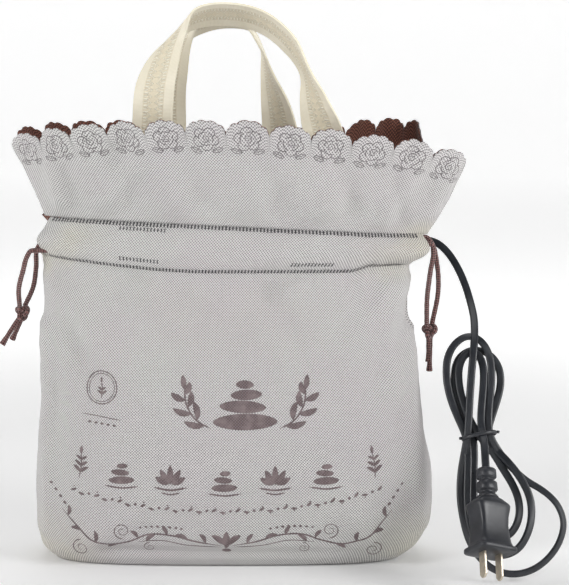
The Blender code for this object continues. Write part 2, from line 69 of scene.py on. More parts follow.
FLAP_EDGES = {  # each flap's upper edge: (place across, x, y, height)
    "front": ((-1.0, -0.151, -0.008, 0.290), (-0.75, -0.121, -0.031, 0.296), (-0.5, -0.084, -0.043, 0.300),
              (-0.25, -0.045, -0.050, 0.302), (0.0, -0.0045, -0.052, 0.302), (0.25, 0.039, -0.050, 0.2985),
              (0.5, 0.080, -0.043, 0.294), (0.75, 0.1225, -0.031, 0.288), (1.0, 0.161, -0.008, 0.277)),
    "back": ((-1.0, -0.151, 0.008, 0.294), (-0.75, -0.127, 0.027, 0.2975), (-0.5, -0.094, 0.038, 0.2985),
             (-0.1, -0.020, 0.047, 0.2930), (0.1, 0.018, 0.047, 0.2920), (0.4, 0.065, 0.042, 0.2955),
             (0.65, 0.097, 0.031, 0.300), (0.85, 0.119, 0.019, 0.3005), (1.0, 0.129, 0.008, 0.298)),
}
SCALLOPS = 12
SCALLOP_HEIGHT, SCALLOP_BUMP = 0.0096, 0.0016
BACKING_GAP = 0.0006  # between a collar's cloth and its brown backing
ROSETTE_DROP = 0.0118  # a rosette's middle under the collar's full height
FELT_FACE, FELT_BACK, LINING_DEPTH = 0.0012, 0.0052, 0.0098
FELT_FOOT, FELT_TOP, NECK_HALF_DEPTH = 0.012, 0.190, 0.020
STRAP_WIDTH, STRAP = 0.027, 0.0016
HANDLE_HINGE_Z, HANDLE_ROOT_Y = 0.2360, 0.0270
CORD_RADIUS = 0.0017
RUN_Y, RUN_Z = 0.0220, 0.2150
PULL_HINGE_X = (-0.1350, 0.1320)
LEAD_WIDTH, LEAD_THICKNESS = 0.0053, 0.0029
LEAD_EXIT = (0.1345, 0.0385, 0.2155)
HANK_TOP, HANK_LEAN = (0.1640, -0.0130, 0.1545), 0.45
TAIL_END = (0.1668, -0.0665, 0.0755)
PLUG_TILT, PLUG_SPIN = math.radians(35), math.radians(30)
PLUG_RELIEF, PLUG_BODY = 0.0210, 0.0370
PIN_X, PIN_WIDTH, PIN_THICKNESS, PIN_LENGTH, PIN_CHAMFER = 0.00635, 0.0063, 0.0015, 0.0172, 0.0018
BAG_RELIEF_TOP = (0.1080, 0.0385, 0.2170)  # where the strain relief points to, inside the bag
BAG_RELIEF, BAG_RELIEF_RADII = 0.0236, (0.0042, 0.0030)
WELD_PITCH, WELD_TICK, WELD_WIDTH = 0.00232, 0.0031, 0.0011


# ------------------------------------------------------------------ small maths
def hermite(stations, values, at):
    """Smooth curve through values at stations, evaluated at every place in `at`."""
    stations, values = np.asarray(stations, float), np.asarray(values, float)
    at = np.clip(np.atleast_1d(np.asarray(at, float)), stations[0], stations[-1])
    slopes = np.gradient(values, stations, axis=0)
    i = np.clip(np.searchsorted(stations, at, side="right") - 1, 0, len(stations) - 2)
    step = stations[i + 1] - stations[i]
    t = (at - stations[i]) / step
    shape = (-1,) + (1,) * (values.ndim - 1)
    t, step = t.reshape(shape), step.reshape(shape)
    return ((2 * t**3 - 3 * t**2 + 1) * values[i] + (t**3 - 2 * t**2 + t) * step * slopes[i]
            + (3 * t**2 - 2 * t**3) * values[i + 1] + (t**3 - t**2) * step * slopes[i + 1])


def distances(points):
    """How far each point lies along the line through them all."""
    return np.concatenate([[0.0], np.cumsum(np.linalg.norm(np.diff(points, axis=0), axis=-1))])


def smooth_route(points, spacing):
    """The same columns as `points`, resampled along one smooth curve by their first three."""
    points = np.asarray(points, float)
    stations = distances(points[:, :3])
    count = max(3, round(stations[-1] / spacing))
    fine = hermite(stations, points, np.linspace(0, stations[-1], count * 4 + 1))
    run = distances(fine[:, :3])
    at = np.linspace(0, run[-1], count + 1)
    return np.column_stack([np.interp(at, run, fine[:, k]) for k in range(points.shape[1])])


def unit(vectors):
    return vectors / np.maximum(np.linalg.norm(vectors, axis=-1, keepdims=True), 1e-12)


def smoothstep(low, high, x):
    t = np.clip((x - low) / (high - low), 0, 1)
    return t * t * (3 - 2 * t)


def between(grid, row, column, down, across):
    """A grid's value between four neighbours: `down` of the way to the next row, `across` to the next column."""
    low = grid[row, column] * (1 - across) + grid[row, column + 1] * across
    high = grid[row + 1, column] * (1 - across) + grid[row + 1, column + 1] * across
    return low * (1 - down) + high * down


def rounded(angles, squareness):
    """x and y on a unit circle whose sides are flattened: a squareness of 2 leaves it round."""
    x, y = np.cos(angles), np.sin(angles)
    power = 2.0 / squareness
    return np.sign(x) * np.abs(x) ** power, np.sign(y) * np.abs(y) ** power


def fractal(points, size, seed):
    """Deterministic soft noise at each point, about -1 to 1."""
    offset = Vector((seed * 17.3, seed * 5.1, seed * 9.7))
    dimension, lacunarity, octaves = 0.9, 2.0, 3
    values = [noise.fractal(Vector(p) / size + offset, dimension, lacunarity, octaves)
              for p in points.reshape(-1, 3)]
    return np.array(values).reshape(points.shape[:-1])


# -------------------------------------------------------------------- materials
class Finish:
    """A procedural material, with short ways to add nodes to it."""

    def __init__(self, name, roughness=0.5, metallic=0.0, sheen=0.0):
        self.material = bpy.data.materials.new(name)
        self.material.use_nodes = True
        self.tree = self.material.node_tree
        self.shader = self.tree.nodes["Principled BSDF"]
        for socket, value in (("Roughness", roughness), ("Metallic", metallic), ("IOR", 1.5),
                              ("Sheen Weight", sheen), ("Sheen Roughness", 0.45)):
            self.shader.inputs[socket].default_value = value
        self.place = self.tree.nodes.new("ShaderNodeTexCoord")

    def node(self, kind, inputs, **settings):
        """A node whose inputs are linked from sockets or set to values."""
        made = self.tree.nodes.new(f"ShaderNode{kind}")
        for key, value in settings.items():
            setattr(made, key, value)
        for key, value in inputs.items():
            if isinstance(value, bpy.types.NodeSocket):
                self.tree.links.new(value, made.inputs[key])
            else:
                made.inputs[key].default_value = value
        return made

    def math(self, operation, a, b=0.0, clamp=False):
        return self.node("Math", {0: a, 1: b}, operation=operation, use_clamp=clamp).outputs[0]

    def times(self, a, b):
        return self.math("MULTIPLY", a, b)

    def plus(self, a, b):
        return self.math("ADD", a, b)

    def minus(self, a, b):
        return self.math("SUBTRACT", a, b)

    def apart(self, a, b):
        """How far a is from b, never negative."""
        return self.math("ABSOLUTE", self.minus(a, b))

    def waves(self, value, length):
        """A sine of `value` that repeats every `length`."""
        return self.math("SINE", self.math("DIVIDE", value, length / (2 * math.pi)))

    def ramp(self, value, low, high):
        """0 below low, 1 above high, smooth between."""
        return self.node("MapRange", {"Value": value, "From Min": low, "From Max": high},
                         interpolation_type="SMOOTHSTEP").outputs["Result"]

    def mix(self, share, a, b, blend="MIX"):
        return self.node("Mix", {0: share, 6: a, 7: b}, data_type="RGBA", blend_type=blend).outputs[2]

    def noise(self, scale, detail=3.0, rough=0.55, where=None):
        return self.node("TexNoise", {"Vector": where or self.place.outputs["Object"], "Scale": scale,
                                      "Detail": detail, "Roughness": rough}).outputs["Fac"]

    def wires(self, socket, value):
        self.tree.links.new(value, self.shader.inputs[socket])

    def bump(self, height, distance, strength, under=None):
        inputs = {"Height": height, "Distance": distance, "Strength": strength}
        if under is not None:
            inputs["Normal"] = under
        return self.node("Bump", inputs).outputs["Normal"]

    def split(self, vector):
        return self.node("SeparateXYZ", {0: vector}).outputs


def linear(red, green, blue):
    """A display colour from 0 to 1 as the scene-linear RGBA that sockets take."""
    def one(c):
        return c / 12.92 if c <= 0.04045 else ((c + 0.055) / 1.055) ** 2.4
    return (one(red), one(green), one(blue), 1.0)


WHITE = linear(1, 1, 1)
DOT_PITCH = 0.00138


def shaded(colour, gain, lift=0.0):
    """The colour made darker or lighter."""
    return tuple(min(1.0, gain * c + lift) for c in colour[:3]) + (1.0,)


def embossed(finish):
    """Height of thermal-bond points on a diagonal grid: 1 on the cloth, 0 in a point. UVs are in metres."""
    turned = finish.node("Mapping", {"Vector": finish.place.outputs["UV"], "Rotation": (0, 0, math.radians(45)),
                                     "Scale": (1 / DOT_PITCH, 1 / DOT_PITCH, 1)})
    cells = finish.node("TexVoronoi", {"Vector": turned.outputs[0], "Scale": 1.0, "Randomness": 0.0},
                        voronoi_dimensions="2D")
    return finish.ramp(cells.outputs["Distance"], 0.24, 0.46)


def nonwoven(name, body, pit, tint, sheen=0.12, painted_light=None):
    """Embossed cloth, clouded between body and tint; its bond points multiply it by pit."""
    finish = Finish(name, roughness=0.88, sheen=sheen)
    dots = embossed(finish)
    fibres = finish.noise(900.0, 4.0, 0.6)
    cloud = finish.noise(14.0, 3.0, 0.6)
    base = finish.mix(finish.ramp(cloud, 0.35, 0.68), body, tint)
    # a painted highlight, where one is given, goes into the colour here
    if painted_light is not None:
        base = painted_light(finish, base)
    base = finish.mix(dots, finish.mix(1.0, base, pit, "MULTIPLY"), base)
    speckle = finish.mix(finish.ramp(fibres, 0.3, 0.75), linear(0.94, 0.94, 0.94), WHITE)
    finish.wires("Base Color", finish.mix(1.0, base, speckle, "MULTIPLY"))
    soft = finish.bump(finish.noise(55.0, 2.0, 0.5), 0.0008, 0.35)
    fine = finish.bump(fibres, 0.00012, 0.6, soft)
    finish.wires("Normal", finish.bump(dots, 0.00022, 0.9, fine))
    return finish.material


def painted_side_highlight(finish, base):
    """Painted highlight: paler, creamier cloth at the bottom corners and round the ends of the drawstring tunnel,
    where the bag's sides catch the light.
    """
    x, _, z = finish.split(finish.place.outputs["Object"])
    side = finish.ramp(finish.math("ABSOLUTE", x), 0.070, 0.135)
    low = finish.ramp(z, 0.050, 0.000)
    high = finish.times(finish.ramp(z, 0.190, 0.206), finish.ramp(z, 0.240, 0.226))
    patch = finish.ramp(finish.noise(22.0, 2.0, 0.5), 0.30, 0.62)
    share = finish.math("MULTIPLY", finish.times(side, patch), finish.plus(low, high), clamp=True)
    # painted highlight mixed into the cloth's colour
    return finish.mix(finish.times(share, 0.75), base, linear(0.885, 0.865, 0.79))


def printed(name, colour):
    """Ink on the cloth: the bond points show through it as paler specks."""
    finish = Finish(name, roughness=0.8, sheen=0.05)
    dots = embossed(finish)
    worn = finish.ramp(finish.noise(160.0, 3.0, 0.6), 0.30, 0.60)
    finish.wires("Base Color", finish.mix(finish.times(dots, worn), shaded(colour, 1.9, 0.05), colour))
    finish.wires("Normal", finish.bump(dots, 0.0002, 0.7))
    return finish.material


def webbing(name):
    """Cream tape: fine ribs across, plain selvedges, and two braided glossy lines with lozenges between."""
    finish = Finish(name, roughness=0.62, sheen=0.25)
    u, v, _ = finish.split(finish.place.outputs["UV"])
    side = finish.apart(u, STRAP_WIDTH / 2)
    lozenge, swing, stitch_length, rib, warp = 0.0042, 0.0068, 0.0021, 0.00085, 0.0006
    zig = finish.apart(finish.math("FRACT", finish.math("DIVIDE", v, lozenge)), 0.5)
    wave = finish.minus(side, finish.times(zig, swing))
    line = finish.ramp(finish.apart(wave, 0.0012), 0.00055, 0.00020)
    lace = finish.ramp(finish.apart(side, 0.0052), 0.0013, 0.0009)
    stitch = finish.ramp(finish.waves(v, stitch_length), -0.2, 0.7)
    inside = finish.ramp(side, 0.0072, 0.0066)
    braid = finish.times(finish.math("MAXIMUM", line, finish.times(lace, stitch)), inside)
    weave = finish.times(finish.waves(v, rib), finish.plus(finish.times(finish.waves(u, warp), 0.5), 0.8))
    cloud = finish.ramp(finish.noise(60.0), 0.35, 0.65)
    ground = finish.mix(cloud, linear(0.945, 0.918, 0.835), linear(0.97, 0.945, 0.87))
    shade = finish.mix(finish.ramp(weave, -1.3, 0.6), linear(0.93, 0.92, 0.90), WHITE)
    ground = finish.mix(1.0, ground, shade, "MULTIPLY")
    hollow = finish.times(inside, finish.minus(1.0, braid))
    ground = finish.mix(finish.times(hollow, 0.62), ground, linear(0.865, 0.815, 0.70))
    finish.wires("Base Color", finish.mix(braid, ground, linear(0.985, 0.965, 0.89)))
    finish.wires("Roughness", finish.minus(0.66, finish.times(braid, 0.28)))
    woven = finish.bump(weave, 0.00012, 0.7)
    finish.wires("Normal", finish.bump(braid, 0.00045, 1.0, woven))
    return finish.material


def braided(name, dark, pale):
    """Drawstring: strands crossing on a round braid. U runs round once, V along in metres."""
    finish = Finish(name, roughness=0.72, sheen=0.30)
    u, v, _ = finish.split(finish.place.outputs["UV"])
    strands_round, strand_pitch = 4.0, 0.0034
    round_it, along = finish.times(u, strands_round), finish.math("DIVIDE", v, strand_pitch)
    left, right = (finish.math("SINE", finish.times(turn, 2 * math.pi))
                   for turn in (finish.plus(round_it, along), finish.minus(round_it, along)))
    strands = finish.times(left, right)
    # painted light and shade: the strands' crests are pale and the grooves between them dark
    lit = finish.ramp(finish.plus(strands, finish.times(finish.noise(700.0), 0.5)), -0.45, 0.75)
    finish.wires("Base Color", finish.mix(lit, dark, pale))
    fuzz = finish.bump(finish.noise(1500.0, 2.0), 0.0001, 0.6)
    finish.wires("Normal", finish.bump(strands, 0.0007, 1.0, fuzz))
    return finish.material


def moulded(name, colour, roughness, grain=1400.0):
    """Soft plastic: a very fine grain, faint smears in the gloss."""
    finish = Finish(name, roughness=roughness)
    grainy = finish.noise(grain, 2.0)
    smear = finish.noise(90.0, 3.0)
    finish.wires("Base Color", finish.mix(finish.ramp(smear, 0.35, 0.7), colour, shaded(colour, 1.35, 0.002)))
    spread = finish.times(finish.minus(smear, 0.5), 0.30)
    finish.wires("Roughness", finish.math("ADD", spread, roughness, clamp=True))
    finish.wires("Normal", finish.bump(grainy, 0.00008, 0.35))
    return finish.material


def metal(name, colour, roughness):
    """Plated or rolled metal with fine lengthwise scratches."""
    finish = Finish(name, roughness=roughness, metallic=1.0)
    stretched = finish.node("Mapping", {"Vector": finish.place.outputs["Object"], "Scale": (1.0, 1.0, 0.06)})
    scratch = finish.noise(1800.0, 3.0, 0.6, stretched.outputs[0])
    dull = finish.noise(240.0, 3.0)
    finish.wires("Base Color", finish.mix(finish.ramp(dull, 0.4, 0.75), colour, shaded(colour, 0.72)))
    finish.wires("Roughness", finish.math("ADD", finish.times(scratch, 0.25), roughness - 0.1, clamp=True))
    finish.wires("Normal", finish.bump(scratch, 0.00003, 0.4))
    return finish.material


def fibrous(name, colour, other, scale, depth, roughness=0.9):
    """Felt, board, woven glass: coarse noise in colour and relief."""
    finish = Finish(name, roughness=roughness, sheen=0.1)
    fibres = finish.noise(scale, 5.0, 0.7)
    finish.wires("Base Color", finish.mix(finish.ramp(fibres, 0.3, 0.7), colour, other))
    finish.wires("Normal", finish.bump(fibres, depth, 0.8))
    return finish.material


# the grey cloth carries a painted highlight at its sides and tunnel ends
GREY_CLOTH = nonwoven("grey_nonwoven", linear(0.868, 0.850, 0.852), linear(0.60, 0.60, 0.605),
                      linear(0.875, 0.87, 0.86), painted_light=painted_side_highlight)
BROWN_CLOTH = nonwoven("brown_nonwoven", linear(0.275, 0.172, 0.148), linear(1.9, 1.8, 1.7),
                       linear(0.29, 0.185, 0.155), sheen=0.2)
INK = printed("brown_ink", linear(0.335, 0.285, 0.29))
FINE_INK = printed("fine_ink", linear(0.33, 0.305, 0.315))
WELD_INK = printed("weld_tick", linear(0.17, 0.165, 0.175))
TAPE = webbing("cream_webbing")
BRAID = braided("brown_braid", linear(0.17, 0.08, 0.08), linear(0.60, 0.41, 0.39))
LEAD_PVC = moulded("black_lead", linear(0.120, 0.130, 0.150), 0.34)
PLUG_PVC = moulded("black_plug", linear(0.125, 0.132, 0.152), 0.38, 900.0)
NICKEL = metal("nickel_pin", linear(0.80, 0.76, 0.69), 0.30)
HIDDEN = {
    "insulating_felt": fibrous("felt", linear(0.88, 0.88, 0.87), linear(0.76, 0.76, 0.75), 500.0, 0.0006),
    "stiffener_board": fibrous("board", linear(0.52, 0.44, 0.35), linear(0.44, 0.37, 0.29), 220.0, 0.0002),
    "carrier_cloth": fibrous("glass_cloth", linear(0.90, 0.89, 0.84), linear(0.80, 0.79, 0.73), 800.0, 0.0002, 0.6),
    "heating_wire": moulded("silicone_wire", linear(0.72, 0.16, 0.12), 0.45),
    "control_metal": metal("control_metal", linear(0.78, 0.78, 0.77), 0.35),
    "splice_sleeve": moulded("splice_sleeve", linear(0.88, 0.88, 0.86), 0.4),
    "cream_webbing": TAPE, "brown_cord": BRAID, "black_lead": LEAD_PVC, "tie_plastic": PLUG_PVC,
    "plug_pins": NICKEL, "light_nonwoven": GREY_CLOTH, "brown_nonwoven": BROWN_CLOTH,
}


# ----------------------------------------------------------------- mesh building
def add_mesh(name, points, faces, finish, uv=None, smooth=True):
    """A mesh object; uv holds one (u, v) for each vertex."""
    mesh = bpy.data.meshes.new(name)
    mesh.from_pydata([tuple(p) for p in np.asarray(points, float)], [], [tuple(f) for f in faces])
    mesh.materials.append(finish)
    mesh.polygons.foreach_set("use_smooth", [smooth] * len(mesh.polygons))
    if uv is not None:
        layer = mesh.uv_layers.new(name="UVMap")
        corners = np.empty(len(mesh.loops), int)
        mesh.loops.foreach_get("vertex_index", corners)
        layer.data.foreach_set("uv", np.asarray(uv, float)[corners].ravel())
    made = bpy.data.objects.new(name, mesh)
    bpy.context.scene.collection.objects.link(made)
    return made


def grid_faces(rows, columns, start=0, around=False, flip=False):
    """Quads of a grid whose vertices run along its columns first; `around` joins the last column to the first."""
    faces = []
    for j in range(rows - 1):
        for i in range(columns if around else columns - 1):
            k = (i + 1) % columns
            quad = (start + j * columns + i, start + j * columns + k,
                    start + (j + 1) * columns + k, start + (j + 1) * columns + i)
            faces.append(quad[::-1] if flip else quad)
    return faces


def grid_normals(points, around=False):
    """Unit normals of a grid; `around` means that its last column repeats its first."""
    if around:
        ring = points[:, :-1]
        along = np.roll(ring, -1, axis=1) - np.roll(ring, 1, axis=1)
        along = np.concatenate([along, along[:, :1]], axis=1)
    else:
        along = np.gradient(points, axis=1)
    return unit(np.cross(along, np.gradient(points, axis=0)))


def arc_uv(points):
    """(u, v) in metres for a grid: distance along its middle row, and along each column."""
    middle = points[len(points) // 2]
    u = distances(middle)
    v = np.concatenate([np.zeros((1, points.shape[1])),
                        np.cumsum(np.linalg.norm(np.diff(points, axis=0), axis=2), axis=0)])
    v = np.repeat(v.mean(axis=1, keepdims=True), points.shape[1], axis=1)
    return np.stack([np.broadcast_to(u, v.shape), v], axis=-1)


def add_two_faced(name, outer, inner, faces, finish, uv):
    """A mesh of two grids that share one set of UVs."""
    points = np.concatenate([outer.reshape(-1, 3), inner.reshape(-1, 3)])
    return add_mesh(name, points, faces, finish, np.concatenate([uv.reshape(-1, 2)] * 2))


def cloth_piece(name, points, thickness, finish, uv=None, outward=1.0):
    """An open grid of points as thin closed cloth: its outer face on the points, its inner face behind."""
    rows, columns = points.shape[:2]
    inner = points - grid_normals(points) * thickness * outward
    uv = arc_uv(points) if uv is None else uv
    size = rows * columns
    faces = grid_faces(rows, columns, flip=outward < 0) + grid_faces(rows, columns, size, flip=outward > 0)
    rim = ([j * columns for j in range(rows)][::-1] + list(range(1, columns))
           + [j * columns + columns - 1 for j in range(1, rows)]
           + [(rows - 1) * columns + i for i in range(columns - 2, 0, -1)])
    for a, b in zip(rim, rim[1:] + rim[:1]):
        quad = (b, a, a + size, b + size)
        faces.append(quad if outward > 0 else quad[::-1])
    return add_two_faced(name, points, inner, faces, finish, uv)


def sweep(name, path, profile, wides, finish, twist=None, scale=None, close=True):
    """A closed profile carried along a path; `wides` point along its width. U runs round once, V in metres."""
    tangents = unit(np.gradient(path, axis=0))
    wides = unit(wides - tangents * np.sum(wides * tangents, axis=1, keepdims=True))
    thins = np.cross(tangents, wides)
    if twist is not None:
        c, s = np.cos(twist)[:, None], np.sin(twist)[:, None]
        wides, thins = wides * c + thins * s, thins * c - wides * s
    scale = np.ones(len(path)) if scale is None else scale
    rings = (path[:, None] + scale[:, None, None] * (profile[None, :, 0, None] * wides[:, None]
                                                      + profile[None, :, 1, None] * thins[:, None]))
    rows, columns = rings.shape[:2]
    rings = np.concatenate([rings, rings[:, :1]], axis=1)
    run = distances(path)
    uv = np.stack(np.meshgrid(np.linspace(0, 1, columns + 1), run), axis=-1)
    faces = grid_faces(rows, columns + 1)
    points = rings.reshape(-1, 3)
    if close:
        for row, order in ((0, 1), (rows - 1, -1)):
            points = np.vstack([points, path[row]])
            uv = np.vstack([uv.reshape(-1, 2), [[0.5, run[row]]]])
            ring = [row * (columns + 1) + i for i in range(columns + 1)]
            for a, b in zip(ring, ring[1:]):
                faces.append((len(points) - 1, b, a)[::order])
    made = add_mesh(name, points, faces, finish, uv.reshape(-1, 2))
    weld_seam(made)
    return made


def weld_seam(item, distance=1e-6):
    """Merges doubled vertices along a seam; the UVs stay, because they belong to the faces' corners."""
    work = bmesh.new()
    work.from_mesh(item.data)
    bmesh.ops.remove_doubles(work, verts=work.verts, dist=distance)
    bmesh.ops.recalc_face_normals(work, faces=work.faces)
    work.to_mesh(item.data)
    work.free()


def round_profile(radius, sides):
    angles = np.linspace(0, 2 * math.pi, sides, endpoint=False)
    return np.column_stack([np.cos(angles), np.sin(angles)]) * radius


def twin_profile(width, thickness):
    """A flat two-core lead: two round cores with a shallow groove between them."""
    core = thickness / 2
    apart = width / 2 - core
    angles = np.linspace(0, 2 * math.pi, 20, endpoint=False)
    x, y = np.cos(angles), np.sin(angles)
    across = np.sign(x) * apart * np.minimum(1, np.abs(x) * 2.4) + core * x
    groove = 1 - 0.16 * np.exp(-((across / (0.35 * core)) ** 2))
    return np.column_stack([across, core * y * groove])


def loft(name, place, rings, finish, sides):
    """Rounded-square rings (along, half width, half depth, squareness) down a local -Y axis, capped."""
    angles = np.linspace(0, 2 * math.pi, sides, endpoint=False)
    points = []
    for along, wide, deep, squareness in rings:
        x, z = rounded(angles, squareness)
        points.append(np.column_stack([wide * x, np.full(sides, along), deep * z]))
    rows = len(rings)
    flat = np.concatenate(points)
    faces = grid_faces(rows, sides, around=True)
    faces.append(tuple(range(sides))[::-1])
    faces.append(tuple((rows - 1) * sides + i for i in range(sides)))
    turned = np.array([place @ Vector(p) for p in flat])
    uv = np.column_stack([np.tile(np.arange(sides) / sides, rows), np.repeat(np.arange(rows) / rows, sides)])
    made = add_mesh(name, turned, faces, finish, uv)
    weld_seam(made)
    return made


def bevelled(item, width, angle=35):
    bevel = item.modifiers.new("bevel", "BEVEL")
    bevel.width, bevel.segments, bevel.limit_method = width, 2, "ANGLE"
    bevel.angle_limit = math.radians(angle)
    return item


# ---------------------------------------------------------------- camera, lights
# the far floor shines a little, so every view has a white ground
STAGE_GLOW, GLOW_FROM, GLOW_TO = 0.40, 0.4, 1.2
STAGE_REACH, COVE_RADIUS, COVE_TOP, STAGE_TURNS, COVE_STEPS = 3.6, 1.2, 2.8, 96, 12
FLOOR_DROP = 0.0004
CAMERA_AIM, CAMERA_DISTANCE, CAMERA_ELEVATION = (0.0342, 0.0, 0.1834), 1.2, math.radians(8)
CAMERA_LENS, CAMERA_SENSOR = 107.4, 36.0
AIR_GLOW = 0.16
LIGHTS = (("key", (-1.45, -0.80, 0.9), 11.0, 0.5), ("fill", (1.45, -0.70, 0.8), 12.5, 0.6),
          ("top", (0.0, 0.4, 1.6), 8.0, 1.2))


def studio():
    """The camera, a floor that curves up all round, and three soft lights."""
    scene = bpy.context.scene
    distance, elevation = CAMERA_DISTANCE, CAMERA_ELEVATION
    camera = bpy.data.objects.new("camera", bpy.data.cameras.new("camera"))
    scene.collection.objects.link(camera)
    camera.location = Vector(CAMERA_AIM) + distance * Vector((0, -math.cos(elevation), math.sin(elevation)))
    camera.rotation_euler = (math.pi / 2 - elevation, 0, 0)
    camera.data.lens, camera.data.sensor_fit = CAMERA_LENS, "VERTICAL"
    camera.data.sensor_width = camera.data.sensor_height = CAMERA_SENSOR
    scene.camera = camera

    finish = Finish("pale_floor", roughness=0.9)
    tone = finish.noise(3.0)
    finish.wires("Base Color", finish.mix(tone, linear(0.985, 0.985, 0.985), linear(0.995, 0.995, 0.995)))
    x, y, _ = finish.split(finish.place.outputs["Object"])
    away = finish.math("SQRT", finish.plus(finish.times(x, x), finish.times(y, y)))
    finish.wires("Emission Strength", finish.times(finish.ramp(away, GLOW_FROM, GLOW_TO), STAGE_GLOW))
    finish.shader.inputs["Emission Color"].default_value = WHITE
    profile = [(0.0, 0.0), (0.8, 0.0), (1.8, 0.0), (STAGE_REACH, 0.0)]
    profile += [(STAGE_REACH + COVE_RADIUS * math.sin(a), COVE_RADIUS * (1 - math.cos(a)))
                for a in np.linspace(0, math.pi / 2, COVE_STEPS + 1)[1:]]
    profile += [(STAGE_REACH + COVE_RADIUS, COVE_TOP)]
    angles = np.linspace(0, 2 * math.pi, STAGE_TURNS + 1)
    points = [(r * math.cos(a), r * math.sin(a), z - FLOOR_DROP) for r, z in profile for a in angles]
    faces = grid_faces(len(profile), STAGE_TURNS + 1)
    add_mesh("floor", points, faces, finish.material)

    world = bpy.data.worlds.new("studio")
    world.use_nodes = True
    colour, strength = world.node_tree.nodes["Background"].inputs[:2]
    colour.default_value, strength.default_value = WHITE, AIR_GLOW
    scene.world = world
    for name, place, power, size in LIGHTS:
        light = bpy.data.objects.new(name, bpy.data.lights.new(name, "AREA"))
        scene.collection.objects.link(light)
        light.data.energy, light.data.size = power, size
        light.location = place
        light.rotation_euler = (Vector((0, 0, 0.15)) - Vector(place)).to_track_quat("-Z", "Y").to_euler()
    scene.view_settings.view_transform = "Standard"


studio()


# ------------------------------------------------------------------ mains lead
HANK_UP = Vector((0, HANK_LEAN, 1)).normalized()
HANK_FRONT = Vector((1, 0, 0)).cross(HANK_UP)


def on_hank(right, up, front):
    """A point of the leaning hank, in millimetres right of its top, up from it and out of its front."""
    return Vector(HANK_TOP) + (Vector((1, 0, 0)) * right + HANK_UP * up + HANK_FRONT * front) / 1000


# Free stretch in metres, then passes through the hank in millimetres, each with the lead's roll in degrees.
LEAD_FREE = (
    (*LEAD_EXIT, 0), (0.1385, 0.0382, 0.2151, 0), (0.1430, 0.0370, 0.2130, 0), (0.1490, 0.0340, 0.2075, 0),
    (0.1550, 0.0280, 0.1985, 0), (0.1600, 0.0195, 0.1870, 0), (0.1632, 0.0090, 0.1750, 0),
    (0.1645, -0.0020, 0.1660, 0), (0.1640, -0.0115, 0.1585, 0),
)
HANK_PASSES = (
    # down the front of the hank, through the tie, and round the long lower loop
    (-1.5, -10, 5.6, 0), (-3.2, -24, 5.4, 0), (-4.8, -40, 5.0, 0), (-6.2, -57, 4.2, 0), (-7.2, -69, 3.4, 0),
    (-9.2, -80, 0.5, 0), (-11.6, -94, -3.0, 0), (-12.4, -110, -3.6, 0), (-10.6, -125, -3.8, 10),
    (-7.0, -139, -4.0, 30), (-0.5, -150, -4.2, 45), (8.5, -157.5, -4.4, 50), (20.0, -160.5, -4.4, 50),
    (33.0, -158, -4.4, 50), (44.5, -150, -4.4, 50), (52.5, -139, -4.4, 48), (55.8, -126, -4.4, 46),
    (52.0, -114, -4.4, 42), (43.0, -105, -4.3, 36), (31.5, -98, -4.0, 26), (21.0, -88, -3.0, 10),
    (13.0, -78, -0.6, 0), (8.0, -69, 1.6, 0),
    # up the right, over the top, and down the outside left
    (7.2, -60, 1.8, 0), (8.4, -46, 1.8, 0), (10.2, -31, 1.8, 0), (10.2, -18, 1.8, 8), (7.4, -8.0, 1.8, 18),
    (2.4, -1.6, 1.8, 24), (-4.2, 0.6, 1.6, 26), (-12.0, -3.2, 1.0, 24), (-18.4, -13.0, 0.6, 18),
    (-20.0, -27.0, 0.4, 8), (-17.6, -43.0, 0.4, 0), (-12.4, -57.5, 0.4, 0), (-7.9, -69, 0.2, 0),
    # down the left, round the second loop behind the plug
    (-7.0, -81, 0.4, 0), (-7.6, -96, 0.6, 0), (-8.3, -112, 0.6, 0), (-7.2, -127, 0.8, 0),
    (-3.0, -139, 1.2, 12), (4.0, -147, 1.4, 24), (13.5, -149.0, 1.6, 30), (23.0, -145.5, 1.8, 30),
    (30.0, -136, 1.8, 26), (33.6, -124, 1.8, 18), (33.2, -111, 1.8, 8), (28.0, -98.5, 1.6, 0),
    (19.5, -86.5, 0.8, 0), (11.5, -77, -1.0, 0), (6.6, -69, -2.2, 0),
    # up the outer right, over the top behind, and down the inner left
    (9.0, -58, -2.6, 0), (13.2, -46, -2.8, 0), (16.8, -33, -2.8, 0), (16.4, -21.5, -2.8, 8),
    (11.6, -12.8, -2.8, 18), (4.2, -8.6, -2.8, 24), (-4.4, -9.0, -2.8, 22), (-11.2, -14.6, -2.8, 14),
    (-14.2, -26, -2.8, 4), (-12.4, -42, -2.8, 0), (-7.4, -57, -2.8, 0), (-3.0, -69, -2.8, 0),
    # down beside the plug and round the inmost loop
    (-2.6, -81, -2.6, 0), (-3.4, -95, -2.4, 0), (-3.6, -110, -2.2, 0), (-1.8, -123, -1.8, 6),
    (3.6, -133, -1.4, 18), (11.6, -137.6, -1.2, 26), (19.6, -134.5, -1.2, 26), (25.0, -126, -1.2, 20),
    (26.4, -114.5, -1.4, 10), (22.8, -102, -1.8, 0), (16.6, -91, -2.2, 0), (9.6, -79, -1.6, 0), (1.4, -69, -0.2, 0),
    # up inside the left, over, and down the front to the plug
    (-4.8, -58, 0.0, 0), (-9.0, -46, 0.1, 0), (-11.6, -33, 0.2, 0), (-11.4, -22, 0.2, 4), (-8.2, -13.6, 0.2, 12),
    (-3.0, -9.9, 0.3, 16), (2.2, -12.6, 0.8, 14), (4.9, -20.5, 1.5, 6), (4.8, -32, 2.3, 0), (3.2, -46, 3.2, 0),
    (2.0, -58, 4.2, 0),
    (2.2, -68, 6.6, 0), (2.7, -73, 10.0, 0),
)


PLUG_UP = Vector((0, math.sin(PLUG_TILT), math.cos(PLUG_TILT)))


